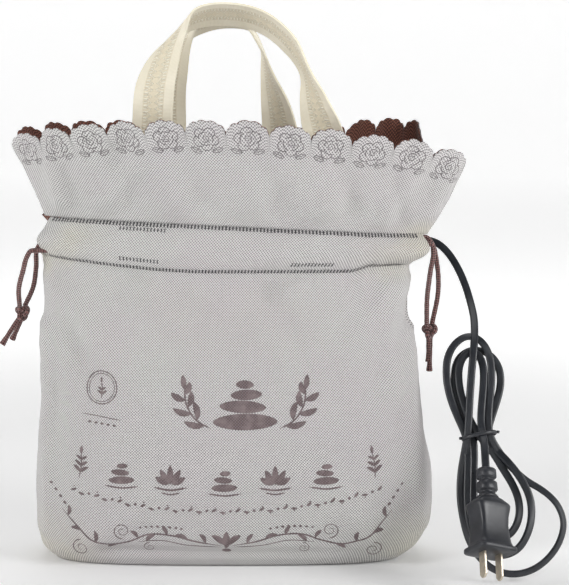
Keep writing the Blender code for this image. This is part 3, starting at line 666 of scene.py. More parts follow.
def plug_frame():
    """Axes of the plug: origin where the lead enters it, y up along it, z out of its broad face."""
    right = Vector((1, 0, 0))
    turned = Matrix((right, PLUG_UP, right.cross(PLUG_UP))).transposed().to_4x4()
    return Matrix.Translation(TAIL_END) @ turned @ Matrix.Rotation(PLUG_SPIN, 4, "Y")


def mains_lead():
    route = [list(p) for p in LEAD_FREE]
    route += [[*on_hank(*p[:3]), p[3]] for p in HANK_PASSES]
    route += [[*(Vector(TAIL_END) + PLUG_UP * ahead), 0] for ahead in (0.006, -0.0015)]
    path = smooth_route(route, 0.0016)
    twist = np.radians(path[:, 3])
    path = path[:, :3]
    for _ in range(8):
        path[1:-1] = (path[:-2] + 2 * path[1:-1] + path[2:]) / 4
    tangents = unit(np.gradient(path, axis=0))
    wides = np.cross(tangents, np.array(HANK_FRONT))
    made = sweep("mains_lead", path, twin_profile(LEAD_WIDTH, LEAD_THICKNESS), wides, LEAD_PVC, twist=twist)
    return made, path


def bag_relief():
    """The ribbed strain relief where the lead leaves the bag."""
    out = (Vector(LEAD_EXIT) - Vector(BAG_RELIEF_TOP)).normalized()
    turn = out.to_track_quat("-Y", "Z").to_matrix().to_4x4()
    at = Matrix.Translation(Vector(LEAD_EXIT) - out * (BAG_RELIEF + 0.0004)) @ turn
    thick, thin = BAG_RELIEF_RADII
    rings = []
    for i, s in enumerate(np.linspace(0, BAG_RELIEF, 25)):
        radius = (thick + (thin - thick) * s / BAG_RELIEF) * (1.0 if (i // 2) % 2 == 0 else 0.86)
        rings.append((-s, radius, radius * 0.86, 2.4))
    return loft("bag_strain_relief", at, rings, PLUG_PVC, 24)


def plug_parts():
    place = plug_frame()
    rings = [(0.0006, 0.0034, 0.0030, 2.2), (-0.0004, 0.0056, 0.0054, 2.4), (-0.0012, 0.0062, 0.0060, 2.6),
             (-0.0062, 0.0063, 0.0061, 2.6), (-0.0070, 0.0058, 0.0056, 2.4), (-0.0074, 0.0045, 0.0043, 2.2),
             (-0.0090, 0.0045, 0.0043, 2.2), (-0.0094, 0.0058, 0.0056, 2.4), (-0.0102, 0.0064, 0.0062, 2.6),
             (-0.0150, 0.0066, 0.0064, 2.6), (-0.0158, 0.0062, 0.0060, 2.4), (-0.0162, 0.0052, 0.0050, 2.2),
             (-0.0176, 0.0052, 0.0050, 2.2), (-0.0188, 0.0060, 0.0058, 2.6), (-0.0208, 0.0072, 0.0066, 3.0)]
    relief = loft("plug_relief_rings", place, rings, PLUG_PVC, 28)
    shell = ((0.0004, 0.0068, 0.0062, 3.0), (-0.0010, 0.0092, 0.0074, 3.6), (-0.0042, 0.0128, 0.0092, 5.0),
             (-0.0056, 0.0132, 0.0095, 5.5), (-0.0080, 0.0126, 0.0093, 6.0), (-0.0130, 0.0113, 0.0088, 6.5),
             (-0.0190, 0.0107, 0.0085, 7.0), (-0.0250, 0.0110, 0.0087, 7.0), (-0.0305, 0.0118, 0.0094, 7.0),
             (-0.0330, 0.0126, 0.0102, 7.0), (-0.0338, 0.0140, 0.0118, 7.0), (-0.0346, 0.0143, 0.0121, 7.5),
             (-0.0364, 0.0143, 0.0121, 7.5), (-PLUG_BODY, 0.0139, 0.0117, 7.0))
    body = loft("plug_shell", place, [(along - PLUG_RELIEF, *ring) for along, *ring in shell], PLUG_PVC, 56)
    low, half, corner = -PLUG_RELIEF - PLUG_BODY, PIN_WIDTH / 2, PIN_LENGTH - 0.0022
    shape = [(-half, 0.001), (half, 0.001), (half, -corner), (half - PIN_CHAMFER, -PIN_LENGTH),
             (PIN_CHAMFER - half, -PIN_LENGTH), (-half, -corner)]
    count = len(shape)
    pins = []
    for hand, x in (("left", -PIN_X), ("right", PIN_X)):
        points = [place @ Vector((x + side * PIN_THICKNESS / 2, low + y, z)) for side in (-1, 1) for z, y in shape]
        faces = [tuple(range(count)), tuple(range(2 * count - 1, count - 1, -1))]
        faces += [(i, i + count, (i + 1) % count + count, (i + 1) % count) for i in range(count)]
        pin = add_mesh(f"plug_pin_{hand}", points, faces, NICKEL, smooth=False)
        weld_seam(pin)
        pins.append(bevelled(pin, 0.00025))
    return relief, body, pins


def twist_tie():
    """A flat plastic tie round the waist of the hank, with a short twisted end at each side."""
    def tube(name, points, spacing, profile):
        path = smooth_route([list(on_hank(*p)) for p in points], spacing)
        return sweep(name, path, profile, np.tile(np.array(HANK_UP), (len(path), 1)), PLUG_PVC)

    turns = np.linspace(0, 2 * math.pi, 49)
    waist = [(0.8 + 11.2 * math.cos(a), -69.0 + 2.3 * math.cos(a), 1.6 + 8.4 * math.sin(a)) for a in turns]
    made = [tube("hank_tie", waist, 0.0012, round_profile(0.0009, 10) * [1.5, 0.8])]
    for hand, sign, x, up in (("left", -1, -10.2, -71.2), ("right", 1, 11.8, -66.8)):
        spur = [(x, up, 1.2), (x + 1.2 * sign, up + 0.5, 2.4), (x + 2.4 * sign, up + 0.2, 2.8)]
        made.append(tube(f"hank_tie_end_{hand}", spur, 0.0006, round_profile(0.0010, 10)))
    return made


lead, lead_path = mains_lead()
lead_relief = bag_relief()
plug_relief, plug_shell, plug_pins = plug_parts()
tie_pieces = twist_tie()
for piece in [lead, lead_relief, plug_relief, plug_shell] + plug_pins + tie_pieces:
    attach(piece, "bag")
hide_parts("power_lead", "lead_hank", "power_lead_tail")
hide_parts("lead_strain_relief")
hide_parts("plug_strain_relief")
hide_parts("plug_body")
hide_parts("plug_blade_left")
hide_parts("plug_blade_right")
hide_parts("cord_tie")


# ------------------------------------------------------------ the bag's form
FORM_Z = np.linspace(0.0, 0.240, 241)
FORM_T = np.linspace(0.0, 1.0, 1441)


def form_table():
    """x and y of the undented outline at every height in FORM_Z and share in FORM_T."""
    angles = np.linspace(math.pi, 3 * math.pi, len(FORM_T))
    round_x, round_y = rounded(angles, SECTION_SQUARENESS)
    xs, ys = [], []
    for centre, half_width, half_depth in hermite(BODY_SECTIONS[:, 0], BODY_SECTIONS[:, 1:], FORM_Z):
        x, y = centre + half_width * round_x, half_depth * round_y
        share = distances(np.column_stack([x, y]))
        xs.append(np.interp(FORM_T, share / share[-1], x))
        ys.append(np.interp(FORM_T, share / share[-1], y))
    return np.array(xs), np.array(ys)


FORM_X, FORM_Y = form_table()


def skin(t, z):
    """Points of the undented outer form: t runs left, front, right, back from 0 to 1."""
    t, z = np.broadcast_arrays(np.asarray(t, float) % 1.0, np.asarray(z, float))
    i = t * (len(FORM_T) - 1)
    j = np.clip(z / FORM_Z[1], 0, len(FORM_Z) - 1)
    i0, j0 = np.minimum(i.astype(int), len(FORM_T) - 2), np.minimum(j.astype(int), len(FORM_Z) - 2)
    a, b = i - i0, j - j0

    x, y = (between(table, j0, i0, b, a) for table in (FORM_X, FORM_Y))
    return np.stack([x, y, z], axis=-1)


def outward(t, z):
    """Unit normals of the undented form."""
    around = skin(np.asarray(t) + 0.004, z) - skin(np.asarray(t) - 0.004, z)
    up = skin(t, np.asarray(z) + 0.001) - skin(t, np.maximum(np.asarray(z) - 0.001, 0.0))
    return unit(np.cross(around, up))


def lower_weld(x):
    """The lower weld row climbs to the left end, and steps up a little where the cloth is gathered at the right."""
    left = 0.0105 * np.clip((-0.020 - x) / 0.108, 0, 1) ** 1.5
    return LOWER_WELD_Z + left + 0.0034 * smoothstep(0.078, 0.090, x)


def upper_weld(x):
    return UPPER_WELD_Z + UPPER_WELD_SLOPE * x


def ridges(x, z, table):
    """Height of soft folds; each is (x0, z0, x1, z1, half width, height) in millimetres."""
    total = np.zeros(np.broadcast(x, z).shape)
    for x0, z0, x1, z1, width, height in table:
        dx, dz = (x1 - x0) / 1000, (z1 - z0) / 1000
        along = ((x - x0 / 1000) * dx + (z - z0 / 1000) * dz) / (dx * dx + dz * dz)
        nearest = np.clip(along, 0, 1)
        away = np.hypot(x - x0 / 1000 - nearest * dx, z - z0 / 1000 - nearest * dz)
        fade = 1 - 0.6 * nearest
        total += height / 1000 * fade * np.exp(-((away / (width / 1000)) ** 2))
    return total


FRONT_FOLDS = (
    (-124, 196, -84, 146, 9, 2.2), (-117, 196, -98, 128, 8, -1.8), (-127, 165, -129, 22, 4.5, 2.4),
    (-119, 120, -120, 30, 8, -1.5), (120, 158, 128, 26, 4.5, 2.4), (111, 110, 117, 30, 8, -1.5),
    (118, 196, 74, 150, 8, 2.2), (104, 190, 112, 112, 8, 1.8), (122, 176, 92, 118, 9, -1.8),
    (-60, 192, -22, 150, 8, 1.5), (-38, 186, -60, 140, 9, -1.2), (22, 192, 46, 146, 8, -1.4),
    (40, 194, 14, 158, 7, 1.2), (-20, 168, 34, 160, 13, -1.4), (-90, 12, 86, 10, 4.0, -1.3),
    (-94, 20, -60, 44, 10, 1.2), (96, 22, 66, 52, 10, 1.3), (-40, 60, 30, 66, 16, 0.9),
)
BACK_FOLDS = (
    (-112, 194, -76, 140, 9, 2.0), (-96, 190, -88, 120, 9, -1.6), (112, 194, 70, 150, 9, 2.1),
    (96, 188, 100, 118, 8, -1.7), (-126, 160, -128, 26, 4.5, 2.2), (120, 160, 128, 26, 4.5, 2.2),
    (-40, 192, -12, 146, 9, 1.5), (18, 190, 40, 138, 9, -1.5), (44, 190, 20, 150, 8, 1.2),
    (-80, 14, 80, 12, 4.0, -1.2), (-30, 90, 40, 96, 24, 1.2),
)
TUNNEL_FOLDS = (
    (-118, 212, -84, 222, 4, 1.6), (-96, 206, -70, 218, 4, -1.4), (-52, 208, -30, 226, 5, 1.3),
    (-20, 222, 12, 210, 5, -1.3), (24, 206, 44, 226, 5, 1.4), (60, 222, 84, 208, 4, -1.6),
    (84, 206, 112, 222, 4, 1.9), (104, 204, 124, 214, 3.5, -1.8), (-126, 224, -112, 206, 4, -1.6),
)
COLLAR_FOLDS = (
    (-112, 236, -124, 284, 6, 2.8), (-103, 236, -112, 268, 6, -2.0), (-90, 238, -58, 282, 8, 2.3),
    (-66, 237, -76, 284, 8, -1.8), (-42, 238, -22, 278, 8, 1.9), (-18, 236, -34, 282, 9, -1.6),
    (8, 236, 32, 276, 8, 1.9), (34, 234, 20, 274, 8, -1.6), (52, 234, 86, 278, 9, 2.1),
    (82, 231, 72, 268, 7, -1.9), (98, 230, 122, 272, 7, 2.4), (112, 229, 108, 262, 6, -1.8),
    (124, 227, 146, 266, 6, 2.2),
)


def gathers(x, z, size):
    """Pleats that fan out from where the drawstrings leave the tunnel."""
    total = 0.0
    for exit_x, exit_z, length, phase in ((-0.139, 0.2205, 0.040, 0.4), (0.137, 0.2200, 0.052, 1.9)):
        reach = np.abs(exit_x - x)
        angle = np.arctan2(z - exit_z, reach + 0.004)
        near = 1 - smoothstep(0.006, length, reach)
        total = total + near * np.sin(6.5 * angle + phase + 40 * reach) * size
    return total


def weld_pinch(x, z, centre, depth):
    """A weld row draws the cloth in, and puckers it on both sides."""
    away = np.abs(z - centre)
    pucker = (0.6 * np.sin(x * 640 + 3 * np.sin(x * 90)) + 0.4 * np.sin(x * 1130 + 1.3)) * 0.00045
    return -depth * np.exp(-((away / 0.0026) ** 2)) + pucker * np.exp(-((away / 0.010) ** 2)) * (away > 0.001)


DEEPEST_FOLD, TALLEST_FOLD = -0.0038, 0.0055


def dents(t, z):
    """How far the cloth stands out of the form, or dips into it where negative."""
    t, z = np.broadcast_arrays(np.asarray(t, float) % 1.0, np.asarray(z, float))
    base = skin(t, z)
    x = base[..., 0]
    front = t < 0.5
    folds = np.where(front, ridges(x, z, FRONT_FOLDS), ridges(x, z, BACK_FOLDS))
    weld = lower_weld(x)
    folds = folds * (1 - smoothstep(weld - 0.010, weld, z))
    gain = 3.0 - 1.5 * smoothstep(0.092, 0.118, np.abs(x))  # gentler towards the sides
    folds = np.clip(gain * folds, DEEPEST_FOLD, TALLEST_FOLD)
    broad = fractal(base, 0.050, 3) * 0.0012 + fractal(base, 0.017, 5) * 0.00038
    bulge = 0.0016 * np.exp(-(((x + 0.004) / 0.085) ** 2 + ((z - 0.085) / 0.060) ** 2))
    tunnel = np.clip((z - weld) / np.maximum(upper_weld(x) - weld, 0.01), 0, 1)
    swell = np.where(z > weld, 0.0026 * np.sin(math.pi * tunnel) ** 0.7, 0.0)
    crumple = ridges(x, z, TUNNEL_FOLDS) + fractal(base, 0.012, 9) * 0.0006
    swell = swell + (gathers(x, z, 0.0030) + crumple) * np.sin(math.pi * tunnel)
    pinch = weld_pinch(x, z, weld, 0.0013) + weld_pinch(x, z, upper_weld(x), 0.0010)
    foot = smoothstep(0.0, 0.012, z)
    return (folds + broad + bulge) * foot + swell + pinch


class Patch:
    """A grid of points with the shares (us, vs) of its columns and rows, to lay prints on."""

    def __init__(self, points, us, vs):
        self.points, self.us, self.vs = points, np.asarray(us), np.asarray(vs)
        self.normals, self.uv = grid_normals(points), arc_uv(points)

    def at(self, u, v):
        """Points, normals and UVs at the shares u, v."""
        i = np.clip(np.interp(u, self.us, np.arange(len(self.us))), 0, len(self.us) - 1.0001)
        j = np.clip(np.interp(v, self.vs, np.arange(len(self.vs))), 0, len(self.vs) - 1.0001)
        i0, j0 = i.astype(int), j.astype(int)
        a, b = (i - i0)[..., None], (j - j0)[..., None]
        points, normals, uv = (between(grid, j0, i0, b, a) for grid in (self.points, self.normals, self.uv))
        return points, unit(normals), uv


def shell_shares():
    """Columns round the bag, closer together on its two narrow sides."""
    even = np.linspace(0, 1, 361)
    return even - 0.014 * np.sin(4 * math.pi * even)


def double_skin(name, outer, inner, uv, finish, open_foot=False):
    """Two grids of rings, the second behind the first, joined at the top row, and at the bottom one if it's open."""
    rows, columns = outer.shape[:2]
    size = rows * columns
    faces = grid_faces(rows, columns) + grid_faces(rows, columns, size, flip=True)
    for row, order in (((0, -1),) if open_foot else ()) + ((rows - 1, 1),):
        for a in range(row * columns, (row + 1) * columns - 1):
            faces.append((a, a + 1, a + 1 + size, a + size)[::order])
    made = add_two_faced(name, outer, inner, faces, finish, uv)
    weld_seam(made, 2e-6)
    return made


def body_points(shares, heights):
    """The dented cloth at given shares and at heights measured up to LOWER_WELD_Z, which follows the real weld."""
    t, h = np.meshgrid(shares, heights)
    lift = smoothstep(0.120, LOWER_WELD_Z, h)
    x = skin(t, np.minimum(h, 0.20))[..., 0]
    z = h + (lower_weld(x) - LOWER_WELD_Z) * lift
    return skin(t, z) + outward(t, z) * dents(t, z)[..., None]


def bag_body():
    shares = shell_shares()
    heights = np.concatenate([np.linspace(0.0004, 0.012, 9), np.linspace(0.014, LOWER_WELD_Z + 0.0008, 97)])
    outer = body_points(shares, heights)
    foot = outer[:1].copy()
    centre = np.array([BASE_CENTRE_X, 0.0, BASE_Z])
    base = np.concatenate([centre + (foot - centre) * share for share in (0.0, 0.2, 0.4, 0.6, 0.75, 0.88, 0.97)])
    base[..., 2] = BASE_Z
    rings = len(base)
    outer = np.concatenate([base, outer])
    inner = outer - grid_normals(outer, around=True) * CLOTH
    inner[:rings] = base + np.array([0, 0, CLOTH])
    made = double_skin("bag_cloth", outer, inner, arc_uv(outer), GREY_CLOTH)
    return made, Patch(outer[rings:], shares, heights)


def casing_piece(side):
    """The drawstring tunnel between the two weld rows, which curls out a little at its ends."""
    start, end = CASING_SPANS[side]
    u, v = np.linspace(0, 1, 181), np.linspace(0, 1, 23)
    t, share = np.meshgrid(start + (end - start) * u, v)
    x = skin(t, LOWER_WELD_Z)[..., 0]
    low, high = lower_weld(x) + 0.0002, upper_weld(x) - 0.0002
    z = low + (high - low) * share
    curl = 0.0030 * (smoothstep(0.10, 0.0, u) + smoothstep(0.90, 1.0, u))[None, :] * np.sin(math.pi * share)
    points = skin(t, z) + outward(t, z) * (dents(t, z) + 0.0002 + curl)[..., None]
    made = cloth_piece(f"{side}_tunnel", points, CLOTH, GREY_CLOTH)
    return made, Patch(points, u, v)


def flap_edge(side, u):
    table = np.array(FLAP_EDGES[side])
    return hermite(table[:, 0], table[:, 1:], 2 * u - 1)


def scallop_dip(u):
    """How far the cut edge lies under the flap's full height: round lobes with small bumps."""
    lobe = (u * SCALLOPS) % 1.0
    dip = SCALLOP_HEIGHT * (1 - np.sqrt(np.clip(1 - (2 * lobe - 1) ** 2, 0, 1)))
    angle = np.arccos(np.clip(1 - 2 * lobe, -1, 1))
    return dip - SCALLOP_BUMP * np.abs(np.sin(5.5 * angle)) ** 0.7 * np.clip(np.sin(angle) * 3, 0, 1)


def flap_form(side):
    """The uncut flap as a smooth dented grid of points, with columns dense enough for the cut edge."""
    columns_per_lobe, fold_gain = 36, 2.7
    lobe = (1 - np.cos(np.linspace(0, math.pi, columns_per_lobe + 1))) / 2
    u = np.concatenate([(k + lobe[:-1]) / SCALLOPS for k in range(SCALLOPS)] + [[1.0]])
    v = np.concatenate([np.linspace(0, 0.7, 27), np.linspace(0.72, 1, 15)])
    start, end = FLAP_SPANS[side]
    along = u if side == "front" else 1 - u
    t = start + (end - start) * along
    seam = upper_weld(skin(t, UPPER_WELD_Z)[..., 0])
    foot = skin(t, seam) + outward(t, seam) * (dents(t, seam) + 0.0004)[..., None]
    foot[..., 2] = seam - 0.0005
    edge = flap_edge(side, u)
    points = foot[None] + (edge - foot)[None] * v[:, None, None]
    normals = grid_normals(points) * (1 if side == "front" else -1)
    x, z = points[..., 0], points[..., 2]
    table = COLLAR_FOLDS if side == "front" else [(-x0, z0, -x1, *rest) for x0, z0, x1, *rest in COLLAR_FOLDS]
    rise = smoothstep(0.0, 0.12, v)[:, None]
    folds = ridges(x, z, table) * smoothstep(0.0, 0.30, v)[:, None] * fold_gain
    deepest = 0.0024 + 0.0070 * smoothstep(0.25, 0.6, v)[:, None]
    folds = np.where(folds < 0, deepest * np.tanh(folds / deepest), folds)
    seed = 7 if side == "front" else 11
    folds = folds + rise * (fractal(points, 0.035, seed) * 0.0011 + fractal(points, 0.013, seed + 1) * 0.0003)
    waves = 0.0012 * np.sin(u * 41 + 0.7) + 0.0009 * np.sin(u * 97 + 2.0)
    flutter = smoothstep(0.55, 1.0, v)[:, None] * waves[None]
    return points + normals * (folds + flutter)[..., None], u, v


def cut_flap(points, u, v):
    """Lowers the upper rows to the scalloped cut, and returns the cut points."""
    weight = smoothstep(0.70, 1.0, v)[:, None]
    tall = np.linalg.norm(points[-1] - points[0], axis=-1)[None]
    shares = v[:, None] - scallop_dip(u)[None] * weight / tall
    j = np.interp(np.clip(shares, 0, None), v, np.arange(len(v)))
    over = np.clip(shares - 1, 0, None)
    j0 = np.minimum(j.astype(int), len(v) - 2)
    part = (j - j0)[..., None]
    columns = np.broadcast_to(np.arange(len(u)), j0.shape)
    cut = points[j0, columns] * (1 - part) + points[j0 + 1, columns] * part
    return cut + (points[-1] - points[-2])[None] / (v[-1] - v[-2]) * over[..., None]


def flap_pieces(side):
    """A collar's cloth and its brown backing, cut to the same scallops, with the uncut form to print on."""
    points, u, v = flap_form(side)
    cut = cut_flap(points, u, v)
    sign = 1.0 if side == "front" else -1.0
    uv_cut = arc_uv(cut)
    uv_cut[..., 0] = arc_uv(points)[..., 0]
    outer = cloth_piece(f"{side}_collar_cloth", cut, CLOTH, GREY_CLOTH, uv_cut, outward=sign)
    behind = cut_flap(points - grid_normals(points) * sign * (CLOTH + BACKING_GAP), u, v)
    inner = cloth_piece(f"{side}_collar_backing", behind, CLOTH * 0.9, BROWN_CLOTH, uv_cut, outward=sign)
    return outer, inner, Patch(points, u, v)


# ---------------------------------------------------------------------- prints
class Print:
    """Ink shapes laid on the cloth. Every shape is a stroke whose width varies along it."""

    LIFT = 0.00013  # of the ink over the cloth

    def __init__(self, place, normal_sign=1.0):
        self.place, self.sign = place, normal_sign
        self.points, self.faces, self.uv = [], [], []

    def stroke(self, line, widths):
        """A line of (x, z) in millimetres on the panel, with its full width at each point."""
        line = np.asarray(line, float)
        widths = np.broadcast_to(np.asarray(widths, float), len(line))
        tangents = unit(np.gradient(line, axis=0))
        side = np.column_stack([-tangents[:, 1], tangents[:, 0]])
        across = 3 if widths.max() < 2.5 else 9  # wide shapes follow the cloth's dents
        offsets = np.linspace(-0.5, 0.5, across)
        flat = line[:, None] + side[:, None] * (widths[:, None] * offsets[None])[..., None]
        points, normals, uv = self.place(flat[..., 0], flat[..., 1])
        points = points + normals * self.LIFT * self.sign
        start = len(self.points)
        self.points.extend(points.reshape(-1, 3))
        self.uv.extend(uv.reshape(-1, 2))
        self.faces.extend(grid_faces(len(line), across, start, flip=self.sign > 0))

    def line(self, points, width):
        """A smooth line through the points, narrower at its ends."""
        points = np.column_stack([np.asarray(points, float), np.zeros(len(points))])
        route = smooth_route(points, 0.7)[:, :2]
        s = np.linspace(0, 1, len(route))
        self.stroke(route, width * np.clip(np.minimum(s, 1 - s) * 9, 0.35, 1))

    def lens(self, x, z, angle, length, width, bend=0.0, power=0.75):
        """A leaf or petal from its base at (x, z); angle is in degrees from +x."""
        s = np.linspace(0, 1, max(8, int(length / 0.8)))
        turn = math.radians(angle)
        along, side = s * length, bend * length * np.sin(math.pi * s)
        line = np.column_stack([x + along * math.cos(turn) - side * math.sin(turn),
                                z + along * math.sin(turn) + side * math.cos(turn)])
        self.stroke(line, np.maximum(width * np.sin(math.pi * s) ** power, 0.05))

    def pebble(self, x, z, width, height, angle=0.0, power=0.5):
        """A filled oval; more power makes its ends more pointed."""
        turn = math.radians(angle)
        s = (1 - np.cos(np.linspace(0, math.pi, 25))) / 2
        line = np.column_stack([x + (s - 0.5) * width * math.cos(turn), z + (s - 0.5) * width * math.sin(turn)])
        self.stroke(line, np.maximum(height * np.clip(4 * s * (1 - s), 0, 1) ** power, 0.03))

    def curl(self, x, z, radius, turns, start, width, hand=1):
        """A spiral that winds in to a fifth of its radius."""
        s = np.linspace(0, 1, max(12, int(turns * 28)))
        angle = math.radians(start) + hand * s * turns * 2 * math.pi
        r = radius * (1 - 0.8 * s)
        self.stroke(np.column_stack([x + r * np.cos(angle), z + r * np.sin(angle)]), width * (1 - 0.5 * s))

    def ring(self, x, z, rx, rz, width, start=0.0, reach=360.0, tilt=0.0):
        """An ellipse, or the arc of it that reaches that many degrees on from start."""
        a = np.radians(np.linspace(start, start + reach, max(8, int(reach / 9))))
        c, s = math.cos(math.radians(tilt)), math.sin(math.radians(tilt))
        ex, ez = rx * np.cos(a), rz * np.sin(a)
        self.stroke(np.column_stack([x + c * ex - s * ez, z + s * ex + c * ez]), width)

    def make(self, name, finish):
        return add_mesh(name, self.points, self.faces, finish, self.uv)


def on_body(patch):
    """Places (x, z) in millimetres on the body's front."""
    shares = np.linspace(0.02, 0.48, 461)

    def place(x, z):
        x, z = x / 1000, z / 1000
        t = np.empty(x.shape)
        for index in np.ndindex(x.shape):
            t[index] = np.interp(x[index], skin(shares, z[index])[:, 0], shares)
        return patch.at(t, z)
    return place


def on_flap(patch, u_centre, drop):
    """Places (x, z) in millimetres round a point of the flap, `drop` metres under its full height."""
    points = patch.points
    wide = distances(points[-8])[-1]
    column = int(np.argmin(np.abs(patch.us - u_centre)))
    tall = float(np.linalg.norm(points[-1, column] - points[0, column]))

    def place(x, z):
        return patch.at(u_centre + x / 1000 / wide, 1 - drop / tall + z / 1000 / tall)
    return place


def sprig(ink, x, z, size, lean, pairs):
    """A stem with paired leaves and one at its tip."""
    turn = math.radians(90 + lean)
    tip = (x + size * math.cos(turn), z + size * math.sin(turn))
    ink.line([(x, z), ((x + tip[0]) / 2 + 0.04 * size, (z + tip[1]) / 2), tip], 0.8)
    for k in range(pairs):
        share = 0.22 + 0.24 * k
        at = (x + (tip[0] - x) * share + 0.03 * size, z + (tip[1] - z) * share)
        long = size * (0.40 - 0.06 * k)
        for hand in (-1, 1):
            ink.lens(at[0], at[1], 90 + lean + hand * 52, long, long * 0.36, bend=-0.10 * hand)
    ink.lens(tip[0], tip[1] - size * 0.06, 90 + lean, size * 0.34, size * 0.13)


def ripple(ink, x, z, size, half, ends, middle, width):
    """A shallow curve under a device: its half width and how far its ends and middle lie below, as shares of size."""
    ink.line([(x - size * half, z - size * ends), (x, z - size * middle), (x + size * half, z - size * ends)], width)


def lotus(ink, x, z, size):
    """Five petals over a short waterline."""
    for angle, long in ((90, 1.0), (60, 0.88), (120, 0.88), (30, 0.74), (150, 0.74)):
        ink.lens(x + 0.10 * size * math.cos(math.radians(angle)), z, angle, size * long * 0.62, size * 0.20, 0.0, 0.8)
    ripple(ink, x, z, size, 0.52, 0.10, 0.17, 1.3)
    ripple(ink, x, z, size, 0.30, 0.26, 0.31, 1.0)


def cairn(ink, x, z, size):
    """Three stones one on the other, over a ripple."""
    stones = ((0, 0, 0.86, 0.26, 2), (-0.04, 0.26, 0.60, 0.21, -4), (0.03, 0.48, 0.36, 0.17, 3))
    for dx, dz, wide, tall, lean in stones:
        ink.pebble(x + dx * size, z + dz * size, wide * size, tall * size, lean)
    ripple(ink, x, z, size, 0.56, 0.20, 0.27, 1.1)


def emblem(ink):
    """A big pile of stones with a leafy sprig on each side."""
    x, z = 8.0, 99.5
    stones = ((0, 3.6, 43.0, 11.0, 1.0), (-1.5, 13.6, 31.0, 8.4, -2.0), (0.8, 21.6, 21.0, 7.0, 2.5),
              (-0.2, 28.4, 12.0, 5.6, -2.0))
    for dx, dz, wide, tall, lean in stones:
        ink.pebble(x + dx, z + dz, wide, tall, lean, 0.55)
    for hand in (-1, 1):
        stem = ((23, -1.0), (33, 5.0), (39, 15.0), (40.5, 27.0))
        leaves = ((27.0, 1.0, 12, 14), (32.0, 4.6, 78, 13), (35.6, 9.0, 16, 13), (38.0, 13.4, 100, 11),
                  (39.6, 18.0, 28, 11), (40.3, 22.0, 112, 9))
        ink.line([(x + hand * dx, z + dz) for dx, dz in stem], 1.1)
        for k, (dx, dz, lean, long) in enumerate(leaves):
            angle = lean if hand > 0 else 180 - lean
            ink.lens(x + hand * dx, z + dz, angle, long, 4.4, bend=0.10 * hand * (1 if k % 2 else -1))
        ink.lens(x + hand * 40.4, z + 25.0, 90 - hand * 6, 10.0, 3.8)


def smile(x, middle, rise):
    """Height of a shallow curve at x millimetres from its middle; it rises by `rise` in 100 mm."""
    return middle + rise * (np.asarray(x, float) / 100.0) ** 2


RING_X, RING_Z = -88.0, 125.0
BORDER_X = -5.0


def front_print(patch):
    """The brown print on the body's front, in millimetres from the middle of its foot."""
    ink = Print(on_body(patch))
    emblem(ink)
    # a sprig in a ring, at the left of the emblem
    ink.ring(RING_X, RING_Z, 10.4, 10.8, 0.7)
    ink.ring(RING_X, RING_Z, 8.8, 9.2, 0.45)
    sprig(ink, RING_X, RING_Z - 7.0, 11.0, 0, 2)
    ink.line([(RING_X - 13.0, 107.6), (RING_X, 105.8), (RING_X + 13.0, 103.6)], 0.55)
    for k in range(5):
        ink.pebble(-96.0 + 4.2 * k, 102.2 - 0.55 * k, 2.2, 1.5)
    # a row of seven devices along a shallow smile
    row = ((-104, sprig), (-75, cairn), (-42, lotus), (-6, cairn), (28, lotus), (62, cairn), (95, sprig))
    for x, device in row:
        base = smile(x + 5, 57.0, 8.6)
        if device is sprig:
            sprig(ink, x, base - 2.0, 17.5, -6 if x < 0 else 6, 3)
        elif device is lotus:
            lotus(ink, x, base + 3.0, 21.0)
        else:
            cairn(ink, x, base + 2.0, 20.0)
    # a garland of leaves and berries under it
    for k, x in enumerate(np.arange(-108, 104, 5.3)):
        z = smile(x + 5, 42.6, 12.0)
        slope = math.degrees(math.atan(24.0 * (x + 5) / 10000.0))
        if k % 3 == 2:
            ink.pebble(x, z, 1.9, 1.9)
        else:
            ink.lens(x - 2.1, z - 0.7, slope + (32 if k % 3 == 0 else -8), 4.4, 1.8)
            ink.pebble(x + 0.4, z + (2.4 if k % 3 == 0 else -2.2), 1.1, 1.1)
    # the border: a vine in two halves that meet at a bud
    for hand in (-1, 1):
        def at(dx, z):
            return (BORDER_X + hand * dx, z)
        vine = ((4, 17.5), (20, 20.5), (36, 25.0), (52, 25.5), (66, 20.0), (80, 17.5), (93, 22.5), (104, 32.0),
                (112, 40.5))
        leaves = ((14, 19.4, 58, 8), (26, 22.2, 22, 9), (40, 25.4, 62, 7), (48, 25.2, -38, 8), (60, 22.8, 50, 7),
                  (74, 17.6, -30, 8), (88, 19.6, 84, 8), (98, 26.6, 8, 8), (108, 36.0, 96, 8))
        ink.line([at(*p) for p in vine], 1.1)
        ink.line([at(4, 16.2), at(24, 17.6), at(44, 21.2), at(60, 19.8)], 0.6)
        for dx, z, angle, long in leaves:
            turn = angle if hand > 0 else 180 - angle
            ink.lens(*at(dx, z), turn, long, 2.9, bend=0.12 * hand)
        ink.curl(*at(70, 28.0), 6.0, 1.6, -90, 0.7, hand)
        ink.curl(*at(99, 13.5), 6.4, 1.5, 90, 0.8, -hand)
        ink.curl(*at(52, 15.0), 4.4, 1.4, 90, 0.6, -hand)
        for k in range(8):
            off = abs(k - 3)
            ink.pebble(*at(30 + 4.0 * k, 31.5 - 0.10 * (k - 4) ** 2), 2.4 - 0.18 * off, 1.8 - 0.12 * off)
        for k in range(4):
            ink.pebble(*at(110 + 3.0 * k, 45.0 + 4.4 * k), 2.8 - 0.3 * k, 2.1 - 0.2 * k, 40 * hand)
        ink.lens(*at(1.5, 18.0), 40 if hand > 0 else 140, 11.0, 4.2, bend=0.10 * hand)
    ink.lens(BORDER_X, 15.0, 90, 13.0, 5.2)
    ink.pebble(BORDER_X, 13.0, 6.5, 3.4)
    return ink.make("front_print", INK)


